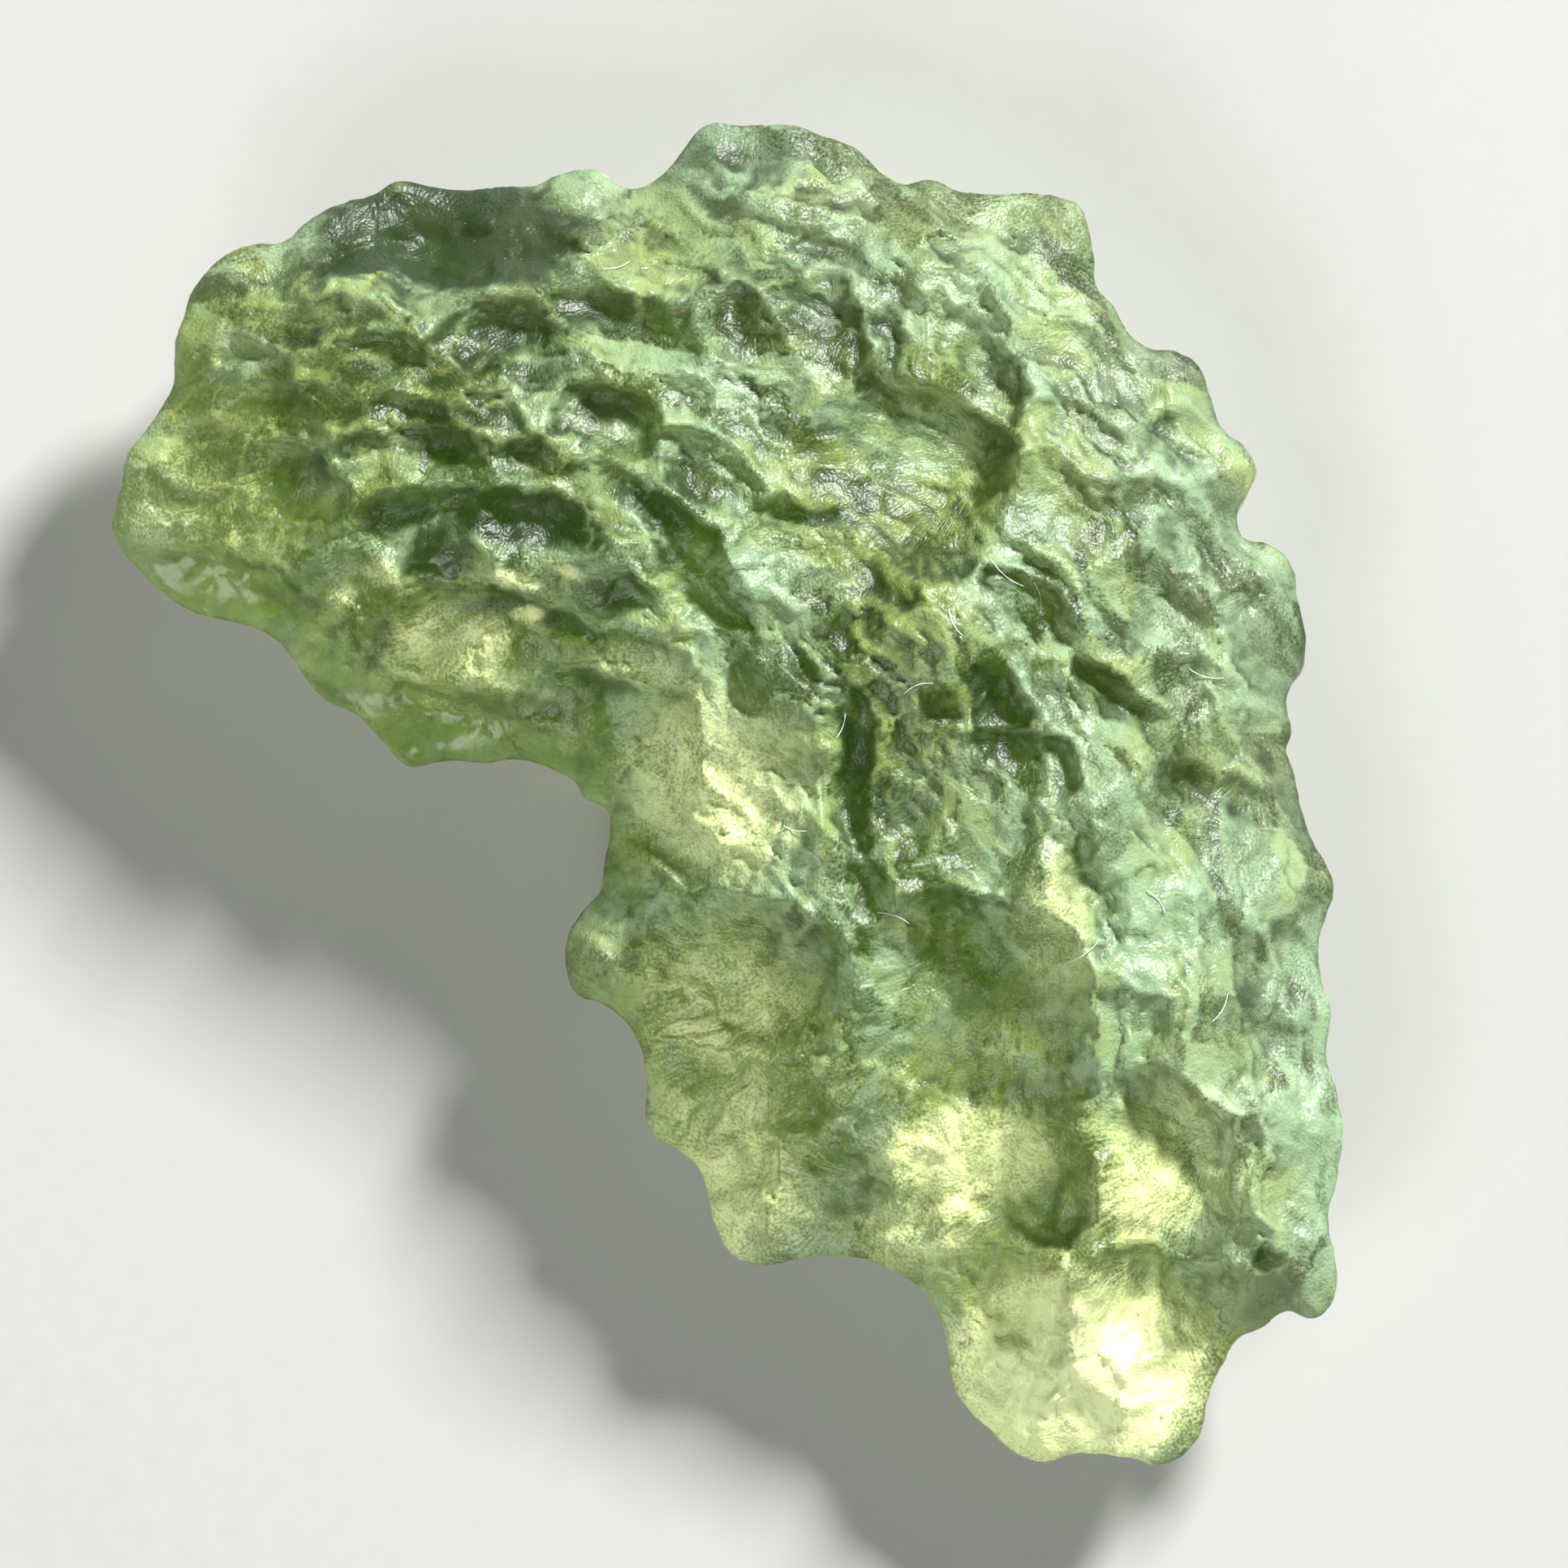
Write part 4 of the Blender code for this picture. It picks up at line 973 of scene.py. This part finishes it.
@dataclass(frozen=True)
class EtchedGlass:
    """The stone's finish: green glass under a frosted, etched skin.

    Fields: index of refraction, colour that the glass lets through and how densely it absorbs
    the rest; tints of the clear skin in light and in painted shade; colours of the frosted skin,
    cool, warm, in painted shade, in painted glow and fully lit by painted glow; width of the
    streaks beside their own coordinates, size and depth of the grit in metres; roughness of the
    etched, polished and frosted skin; how far the grit breaks up painted shade, frost and painted
    glow; marks between which each starts and is full; and how much of the skin is frosted where
    it is matt and polished, is lost in painted shade and added by painted glow.
    """

    ior: float = 1.49
    let_through: Colour = (0.56, 0.70, 0.0, 1.0)
    density: float = 190.0
    clear: Colour = (0.97, 0.99, 0.90, 1.0)
    # tint of the clear skin in painted shade
    dark: Colour = (0.24, 0.34, 0.12, 1.0)
    seafoam: Colour = (0.42, 0.62, 0.36, 1.0)
    olive: Colour = (0.42, 0.52, 0.14, 1.0)
    # frosted skin in painted shade
    shadow: Colour = (0.05, 0.09, 0.045, 1.0)
    # pale and lit colour the frosted skin with painted glow
    pale: Colour = (0.84, 0.95, 0.42, 1.0)
    lit: Colour = (0.90, 1.0, 0.50, 1.0)
    streak_size: float = 0.34
    grit_size: float = 0.06 * MM
    grit_depth: float = 0.016 * MM
    etched_roughness: float = 0.40
    polished_roughness: float = 0.27
    frost_roughness: float = 0.45
    shade_grit: float = 0.4
    frost_grit: float = 0.7
    glow_grit: float = 0.8
    polish_range: tuple[float, float] = (0.15, 0.85)
    gloss_range: tuple[float, float] = (0.1, 0.9)
    shade_range: tuple[float, float] = (0.0, 1.5)
    lit_range: tuple[float, float] = (0.9, 1.8)
    matt_frost: float = 0.58
    polished_frost: float = 0.22
    shade_frost: float = 0.2
    glow_frost: float = 0.5

    def build(self) -> bpy.types.Material:
        """Makes the material.

        Returns:
            The material, with its volume.
        """
        material = bpy.data.materials.new("etched green glass")
        material.use_nodes = True
        graph = Graph(material.node_tree)
        polish = graph.attribute(Mark.POLISH.value)
        warmth = graph.attribute(Mark.WARMTH.value)
        milk = graph.attribute(Mark.MILK.value)
        shade = graph.attribute(Mark.PAINTED_SHADE.value)
        glow = graph.attribute(Mark.GLOW.value)
        fans = graph.noise(graph.attribute(STREAKS, "Vector"), self.streak_size, 0)
        grit = (graph.noise(graph.node("ShaderNodeTexCoord", output="Object"), self.grit_size, 0)
                + (fans - 0.5) * graph.attribute(Mark.STREAKED.value))
        matt = polish.step(*self.polish_range, 1.0, 0.0)

        skin = graph.blend(warmth.step(0.0, 1.0), self.seafoam, self.olive)
        # painted shade: deep darkens the frosted skin towards shadow and the clear skin towards
        # dark
        deep = (shade + (grit - 0.5) * self.shade_grit).step(*self.shade_range)
        # painted glow: bright and lit lighten the frosted skin towards pale and the fully lit
        # colour
        bright = (glow * ((grit - 0.5) * self.glow_grit + 1)).step(0.0, 1.0)
        lit = graph.blend(glow.step(*self.lit_range), self.pale, self.lit)
        skin = graph.blend(bright, graph.blend(deep, skin, self.shadow), lit)
        tint = graph.blend(deep, self.clear, self.dark)
        frosted = (milk + (grit - 0.5) * self.frost_grit).step(0.0, 1.0)
        # painted shade takes frost away and painted glow adds it
        share = (frosted * (matt * (self.matt_frost - self.polished_frost) + self.polished_frost
                            - deep * self.shade_frost) + bright * self.glow_frost)

        gloss = polish.step(*self.gloss_range, self.etched_roughness, self.polished_roughness)
        bumped = graph.node("ShaderNodeBump", None, {"Height": grit * matt, "Strength": 1.0,
                                                     "Distance": self.grit_depth})
        clear = graph.node("ShaderNodeBsdfPrincipled", None, {
            "Base Color": tint, "Roughness": gloss, "IOR": self.ior,
            "Transmission Weight": 1.0, "Normal": bumped})
        frost = graph.node("ShaderNodeBsdfPrincipled", None, {
            "Base Color": skin, "Roughness": self.frost_roughness, "IOR": self.ior,
            "Normal": bumped})
        mixed = graph.node("ShaderNodeMixShader", None, {0: share, 1: clear, 2: frost})
        inside = graph.node("ShaderNodeVolumeAbsorption", None,
                            {"Color": self.let_through, "Density": self.density})
        graph.node("ShaderNodeOutputMaterial", None, {"Surface": mixed, "Volume": inside},
                   output=None)
        return material


@dataclass
class Stone:
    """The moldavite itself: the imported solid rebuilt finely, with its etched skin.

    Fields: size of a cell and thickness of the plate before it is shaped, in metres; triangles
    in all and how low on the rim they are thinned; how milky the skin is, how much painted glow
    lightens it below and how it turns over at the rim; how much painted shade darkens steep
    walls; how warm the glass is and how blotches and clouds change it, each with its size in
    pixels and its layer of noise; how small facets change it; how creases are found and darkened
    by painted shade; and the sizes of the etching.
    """

    finish: EtchedGlass
    name: str = "moldavite_glass"
    cell: float = 0.078 * MM
    blank: float = 1.0 * MM
    triangles: int = 165_000
    milk: float = 0.70
    painted_glow_below: float = 0.42
    thinned_below: float = 0.15
    turn_over: tuple[float, float] = (-0.15, 0.3)
    wall_shade: float = 1.4
    level_rise: float = 0.82
    warmth: float = 0.35
    blotch: tuple[float, float] = (110.0, 51.5)
    blotch_warmth: float = 0.35
    cloud: tuple[float, float] = (60.0, 57.5)
    cloud_milk: float = 0.25
    facet_change: dict[Mark, float] = field(default_factory=lambda: {
        Mark.MILK: 0.7, Mark.WARMTH: 0.45, Mark.PAINTED_SHADE: 0.5})
    crease_rounds: int = 6
    crease_depth: float = 0.05 * MM
    crease_shade: float = 0.5
    ripple_size: float = 0.42 * MM
    ripple_height: float = 0.045 * MM
    ripple_detail: float = 3.0
    pit_size: float = 0.34 * MM
    pit_depth: float = 0.03 * MM
    pit_level: float = 0.25
    seat: float = 0.15 * MM
    polish_range: tuple[float, float] = (0.2, 0.9)
    polished_relief: float = 0.05
    relief: Relief = Relief()

    @property
    def picture(self) -> Picture:
        """The picture's grid."""
        return self.relief.outline.picture

    def pixels(self, points: Array) -> tuple[Array, Array]:
        """Points in metres as pixels."""
        middle_x, middle_y = self.picture.middle
        pixel = self.picture.pixel
        return points[:, 0] / pixel + middle_x, middle_y - points[:, 1] / pixel

    def points(self, mesh: bpy.types.Mesh) -> Array:
        """Reads a mesh's points.

        Args:
            mesh: The mesh.

        Returns:
            A row for each point, in metres.
        """
        flat = np.empty(len(mesh.vertices) * 3, np.float32)
        mesh.vertices.foreach_get("co", flat)
        return flat.reshape(-1, 3).astype(float)

    def sculpt(self) -> bpy.types.Object:
        """Shapes a plate of the outline into the stone.

        Returns:
            The stone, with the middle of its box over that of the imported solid.
        """
        plate = self.relief.outline.blank(self.name, self.blank)
        even = plate.modifiers.new("Even skin", "REMESH")
        even.mode, even.voxel_size = "VOXEL", self.cell
        stone = plain_mesh(plate)
        points = self.points(stone.data)
        level = np.clip(points[:, 2] / self.blank, 0, 1)
        high, low = self.relief.faces(*self.pixels(points))
        points[:, 2] = np.maximum(low + (high - low) * level, 0) * MM
        lowest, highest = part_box(NODE)
        middle = (points.min(0) + points.max(0)) / 2
        points[:, :2] += (np.array(lowest + highest) / 2 - middle)[:2]
        stone.data.vertices.foreach_set("co", points.astype(np.float32).ravel())

        under = stone.vertex_groups.new(name="underside")
        under.add([int(i) for i in np.flatnonzero(level < self.thinned_below)], 1.0, "REPLACE")
        stone.data.calc_loop_triangles()
        fewer = stone.modifiers.new("Fewer faces below", "DECIMATE")
        fewer.vertex_group = under.name
        fewer.ratio = min(self.triangles / len(stone.data.loop_triangles), 1)
        fewer.use_collapse_triangulate = True
        stone = plain_mesh(stone)
        stone.vertex_groups.clear()
        return stone

    def creases(self, mesh: bpy.types.Mesh, points: Array) -> Array:
        """How far each point lies under its smoothed surroundings.

        Args:
            mesh: The stone's mesh.
            points: Its points.

        Returns:
            About -1 on sharp ridges to 1 in creases.
        """
        edges = np.empty(len(mesh.edges) * 2, np.int32)
        mesh.edges.foreach_get("vertices", edges)
        one, two = edges.reshape(-1, 2).T
        count = np.bincount(edges, minlength=len(points))
        smooth = points[:, 2].copy()
        for _ in range(self.crease_rounds):
            smooth = (np.bincount(one, smooth[two], len(points))
                      + np.bincount(two, smooth[one], len(points))) / count
        return np.clip((smooth - points[:, 2]) / self.crease_depth, -1, 1)

    def mark(self, stone: bpy.types.Object) -> None:
        """Stores what the finish reads at each point.

        Args:
            stone: The sculpted stone.
        """
        points = self.points(stone.data)
        x, y = self.pixels(points)
        facing = np.array([vertex.normal.z for vertex in stone.data.vertices])
        blotch, cloud = (self.relief.noise(x / size, y / size, points[:, 2] / size + layer)
                         for size, layer in (self.blotch, self.cloud))
        start, end = self.turn_over
        above = np.clip((facing - start) / (end - start), 0, 1)
        above *= above * (3 - 2 * above)
        steep = np.clip(self.level_rise - np.abs(facing), 0, None)
        marks = {Mark.POLISH: np.zeros(len(x)),
                 Mark.WARMTH: self.warmth + self.blotch_warmth * blotch,
                 Mark.MILK: self.milk * (2 - above) + self.cloud_milk * cloud,
                 # painted glow: the underside is lightened as if light shone up through it
                 Mark.GLOW: self.painted_glow_below * (1 - above),
                 # painted shade: steep walls and creases are darkened as if shaded
                 Mark.PAINTED_SHADE: (self.wall_shade * steep * above
                              + self.crease_shade * self.creases(stone.data, points))}
        # patches add painted shade and painted glow, besides polish, warmth and milk
        for patch in PATCHES:
            marks[patch.mark] += patch.amount * patch.inside(x, y) * above
        x_waved, y_waved = self.relief.waved(x, y)
        # facets change milk, warmth and painted shade at random
        for grain in FACETS:
            lots = grain.height * self.relief.cells(x_waved, y_waved, grain)[2]
            for mark, lot in zip((Mark.MILK, Mark.WARMTH, Mark.PAINTED_SHADE), lots.T):
                marks[mark] += self.facet_change[mark] * lot
        marks[Mark.STREAKED], streaks = self.relief.scooped(x_waved, y_waved)[2:]
        streaks[:, 2] += points[:, 2] / (self.picture.pixel * self.relief.streak_length)
        stored = stone.data.attributes.new(STREAKS, "FLOAT_VECTOR", "POINT")
        stored.data.foreach_set("vector", streaks.astype(np.float32).ravel())
        for mark, amounts in marks.items():
            stored = stone.data.attributes.new(mark.value, "FLOAT", "POINT")
            stored.data.foreach_set("value", amounts.astype(np.float32))

    def etch(self, stone: bpy.types.Object, material: bpy.types.Material) -> bpy.types.Object:
        """Roughens the skin along its normals, less where it is polished.

        Args:
            stone: The marked stone.
            material: Its finish.

        Returns:
            The etched stone.
        """
        tree = GeometryTree("etched skin", {
            "Ripple size": self.ripple_size, "Ripple height": self.ripple_height,
            "Pit size": self.pit_size, "Pit depth": self.pit_depth, "Seat": self.seat})
        place = tree.node("GeometryNodeInputPosition")
        ripple = tree.node("ShaderNodeTexNoise", None, {
            "Vector": place, "Scale": 1 / tree.given("Ripple size"), "Detail": self.ripple_detail})
        cell = tree.node("ShaderNodeTexVoronoi", {"feature": "F1"}, {
            "Vector": place, "Scale": 1 / tree.given("Pit size"), "Randomness": 1.0},
            output="Distance")
        height = tree.node("ShaderNodeSeparateXYZ", None, {0: place}, output="Z")
        calm = tree.node("ShaderNodeMapRange", {"interpolation_type": "SMOOTHSTEP"}, {
            "Value": height, "From Min": 0.0, "From Max": tree.given("Seat")})
        matt = tree.stored(Mark.POLISH.value).step(*self.polish_range, 1.0, self.polished_relief)
        out = ((ripple - 0.5) * tree.given("Ripple height") * 2
               + (cell ** 2 - self.pit_level) * tree.given("Pit depth")) * calm * matt
        normal = tree.node("GeometryNodeInputNormal")
        shift = tree.node("ShaderNodeVectorMath", {"operation": "SCALE"}, {0: normal, "Scale": out})
        moved = tree.node("GeometryNodeSetPosition", None, {
            "Geometry": tree.given("Geometry"), "Offset": shift})
        tree.finish(moved, material)
        return tree.apply_to(stone)

    def build(self) -> bpy.types.Object:
        """Makes the whole stone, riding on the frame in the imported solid's place.

        Returns:
            The finished stone.
        """
        stone = self.sculpt()
        self.mark(stone)
        stone = self.etch(stone, self.finish.build())
        stone.data.shade_smooth()
        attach(stone, "root")
        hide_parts(NODE)
        return stone


@dataclass(frozen=True)
class PaleDust:
    """The dust's finish: dull off-white lint, in patches of two shades."""

    pale: Colour = (0.90, 0.91, 0.86, 1.0)
    grey: Colour = (0.62, 0.64, 0.58, 1.0)
    patch_size: float = 0.3 * MM
    roughness: float = 0.7

    def build(self) -> bpy.types.Material:
        """Makes the material.

        Returns:
            The material.
        """
        material = bpy.data.materials.new("off-white dust")
        material.use_nodes = True
        graph = Graph(material.node_tree)
        place = graph.node("ShaderNodeTexCoord", output="Object")
        lint = graph.node("ShaderNodeBsdfPrincipled", None, {
            "Base Color": graph.blend(graph.noise(place, self.patch_size, 1), self.pale, self.grey),
            "Roughness": self.roughness})
        graph.node("ShaderNodeOutputMaterial", None, {"Surface": lint}, output=None)
        return material


@dataclass(frozen=True)
class Fibre:
    """A hair on the top: its middle in pixels, its turn in degrees clockwise, its length, and
    how far it bows sideways.
    """

    x: float
    y: float
    turn: float
    length: float
    bow: float


FIBRES: tuple[Fibre, ...] = (
    Fibre(1330, 1170, -35, 54, 8), Fibre(1100, 1130, 20, 40, -6), Fibre(1175, 770, 62, 34, 6),
    Fibre(1130, 850, -20, 38, -8), Fibre(1240, 708, 38, 56, 9), Fibre(1276, 735, 75, 30, -5),
    Fibre(1035, 895, -70, 32, 5), Fibre(1485, 830, 15, 44, 8), Fibre(1420, 1110, 50, 36, -7),
    Fibre(980, 1020, 12, 30, 5), Fibre(760, 330, -15, 34, 6), Fibre(1500, 1240, -60, 40, 7),
)


@dataclass(frozen=True)
class Dust:
    """Hairs and specks that cling to the top of the stone.

    Fields: radius of a hair, how many legs it has, how much of its stated bow it keeps, over
    how many knots on each side it stays clear of the skin, and the height from which it is
    laid; speck size, the smallest speck beside the largest, how many specks there are to a
    square metre, how level the skin is that holds them, and the seed that scatters them.
    """

    finish: PaleDust
    relief: Relief = Relief()
    hair_radius: float = 0.010 * MM
    legs: int = 12
    bow_kept: float = 0.6
    knots_clear: int = 2
    drop_height: float = 1.0
    speck_size: float = 0.026 * MM
    least_speck: float = 0.35
    crowding: float = 1.1e6
    least_level: float = 0.45
    seed: int = 7

    def hairs(self, stone: bpy.types.Object, material: bpy.types.Material) -> bpy.types.Object:
        """Lays the hairs on the stone.

        Args:
            stone: The finished stone.
            material: The dust's finish.

        Returns:
            All the hairs as one mesh.
        """
        skin = bvhtree.BVHTree.FromPolygons([vertex.co for vertex in stone.data.vertices],
                                            [tuple(face.vertices) for face in stone.data.polygons])
        picture = self.relief.outline.picture
        curve = bpy.data.curves.new("dust_hairs", "CURVE")
        curve.dimensions, curve.bevel_depth, curve.bevel_resolution = "3D", self.hair_radius, 1
        curve.use_fill_caps = True
        for fibre in FIBRES:
            turn = math.radians(fibre.turn)
            places = []
            for i in range(self.legs + 1):
                t = i / self.legs - 0.5
                far, side = t * fibre.length, self.bow_kept * fibre.bow * (1 - 4 * t * t)
                place = picture.place(fibre.x + far * math.cos(turn) - side * math.sin(turn),
                                      fibre.y + far * math.sin(turn) + side * math.cos(turn),
                                      self.drop_height)
                places.append(skin.ray_cast(place, Vector((0, 0, -1)))[0])
            clear = self.knots_clear
            heights = [max(place.z for place in places[max(i - clear, 0):i + clear + 1])
                       for i in range(len(places))]
            spline = curve.splines.new("POLY")
            spline.points.add(self.legs)
            for knot, place, height in zip(spline.points, places, heights):
                knot.co = (place.x, place.y, height + self.hair_radius, 1.0)
        hairs = plain_mesh(new_object("dust_hairs", curve))
        hairs.data.materials.clear()
        hairs.data.materials.append(material)
        return hairs

    def specks(self, stone: bpy.types.Object, material: bpy.types.Material) -> bpy.types.Object:
        """Scatters specks over the level parts of the top.

        Args:
            stone: The finished stone.
            material: The dust's finish.

        Returns:
            All the specks as one mesh.
        """
        tree = GeometryTree("dust specks", {
            "Speck size": self.speck_size, "Crowding": self.crowding,
            "Least level": self.least_level, "Seed": self.seed})
        normal = tree.node("GeometryNodeInputNormal")
        level = tree.node("ShaderNodeSeparateXYZ", None, {0: normal}, output="Z")
        flat = tree.node("FunctionNodeCompare", {"data_type": "FLOAT", "operation": "GREATER_THAN"},
                         {0: level, 1: tree.given("Least level")})
        spots = tree.node("GeometryNodeDistributePointsOnFaces", {"distribute_method": "RANDOM"}, {
            "Mesh": tree.given("Geometry"), "Selection": flat, "Density": tree.given("Crowding"),
            "Seed": tree.given("Seed")})
        grain = tree.node("GeometryNodeMeshIcoSphere", None, {
            "Radius": tree.given("Speck size") * 0.5, "Subdivisions": 1})
        growth = tree.node("FunctionNodeRandomValue", {"data_type": "FLOAT"},
                           {2: self.least_speck, 3: 1.0, "Seed": tree.given("Seed")}, output=1)
        placed = tree.node("GeometryNodeInstanceOnPoints", None, {
            "Points": spots, "Instance": grain, "Scale": growth})
        tree.finish(placed, material)
        scatter = new_object("dust_specks", stone.data.copy())
        return tree.apply_to(scatter)

    def build(self, stone: bpy.types.Object) -> list[bpy.types.Object]:
        """Makes the dust, riding on the frame.

        Args:
            stone: The finished stone.

        Returns:
            The hairs and the specks.
        """
        material = self.finish.build()
        pieces = [self.hairs(stone, material), self.specks(stone, material)]
        for piece in pieces:
            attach(piece, "root")
        return pieces


@dataclass(frozen=True)
class PaleFloor:
    """The floor's finish: plain pale card, with a fine tooth a little darker than the rest."""

    colour: Colour = (0.50, 0.50, 0.485, 1.0)
    tooth_size: float = 0.5 * MM
    tooth_shade: float = 0.97
    roughness: float = 0.9

    def build(self) -> bpy.types.Material:
        """Makes the material.

        Returns:
            The material.
        """
        material = bpy.data.materials.new("pale card")
        material.use_nodes = True
        graph = Graph(material.node_tree)
        place = graph.node("ShaderNodeTexCoord", output="Object")
        tooth = graph.noise(place, self.tooth_size, 2)
        darker = tuple(self.tooth_shade * part for part in self.colour)
        shade = graph.blend(tooth, self.colour, darker)
        card = graph.node("ShaderNodeBsdfPrincipled", None,
                          {"Base Color": shade, "Roughness": self.roughness})
        graph.node("ShaderNodeOutputMaterial", None, {"Surface": card}, output=None)
        return material


@dataclass(frozen=True)
class Lamp:
    """A soft square light that points at the stone.

    Fields: direction from the right towards the top of the picture in degrees, height above
    the floor in degrees, distance and side in metres, power in watts, and colour.
    """

    name: str
    bearing: float
    elevation: float
    distance: float
    side: float
    power: float
    colour: tuple[float, float, float] = (1.0, 1.0, 1.0)


@dataclass(frozen=True)
class Studio:
    """The floor, the lamps and the camera straight above the stone.

    Fields: side of the floor in metres, the lamps, how bright the room is, how far the camera
    stands above the height that it is aimed at, its sensor in millimetres, and the nearest
    and farthest that it sees.
    """

    floor_side: float = 3.0
    lamps: tuple[Lamp, ...] = (
        Lamp("key", 52.0, 34.0, 0.50, 0.09, 5.5),
        Lamp("fill", -120.0, 42.0, 0.30, 0.18, 0.56),
    )
    world_grey: float = 0.07
    camera_distance: float = 0.30
    aim_height: float = 4.0 * MM
    sensor: float = 36.0
    sight: tuple[float, float] = (0.01, 10.0)
    picture: Picture = Picture()

    def build_floor(self) -> None:
        """Makes the floor."""
        mesh = bpy.data.meshes.new("floor")
        half = self.floor_side / 2
        mesh.from_pydata([(-half, -half, 0), (half, -half, 0), (half, half, 0), (-half, half, 0)],
                         [], [(0, 1, 2, 3)])
        mesh.materials.append(PaleFloor().build())
        floor = new_object("floor", mesh)

    def build_lamps(self) -> None:
        """Makes the lamps and the even light of the room."""
        for lamp in self.lamps:
            light = bpy.data.lights.new(lamp.name, "AREA")
            light.size, light.energy, light.color = lamp.side, lamp.power, lamp.colour
            bearing, elevation = math.radians(lamp.bearing), math.radians(lamp.elevation)
            towards = Vector((math.cos(bearing) * math.cos(elevation),
                              math.sin(bearing) * math.cos(elevation), math.sin(elevation)))
            holder = new_object(lamp.name, light)
            holder.location = towards * lamp.distance
            holder.rotation_euler = towards.to_track_quat("Z", "Y").to_euler()
            holder.visible_camera = False
        world = bpy.data.worlds.new("room")
        world.use_nodes = True
        backdrop = world.node_tree.nodes["Background"]
        backdrop.inputs["Color"].default_value = (self.world_grey,) * 3 + (1.0,)
        bpy.context.scene.world = world

    def build_camera(self) -> None:
        """Makes the camera over the middle of the picture."""
        camera = bpy.data.cameras.new("camera")
        side = self.picture.side * self.picture.pixel
        camera.sensor_width = self.sensor
        camera.lens = self.sensor * self.camera_distance / side
        camera.clip_start, camera.clip_end = self.sight
        camera.dof.use_dof = False
        holder = new_object("camera", camera)
        holder.location = self.picture.place(self.picture.side / 2, self.picture.side / 2,
                                             self.aim_height + self.camera_distance)
        bpy.context.scene.camera = holder


def main() -> None:
    """Builds the stone and its studio and reports each piece."""
    logging.basicConfig(level=logging.INFO, format="%(name)s: %(message)s")
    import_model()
    studio = Studio()
    studio.build_camera()
    studio.build_floor()
    studio.build_lamps()
    bpy.context.scene.view_settings.view_transform = "Standard"
    stone = Stone(EtchedGlass()).build()
    for piece in (stone, *Dust(PaleDust()).build(stone)):
        piece.data.calc_loop_triangles()
        LOG.info("%s: %d triangles", piece.name, len(piece.data.loop_triangles))


if __name__ == "__main__":
    main()
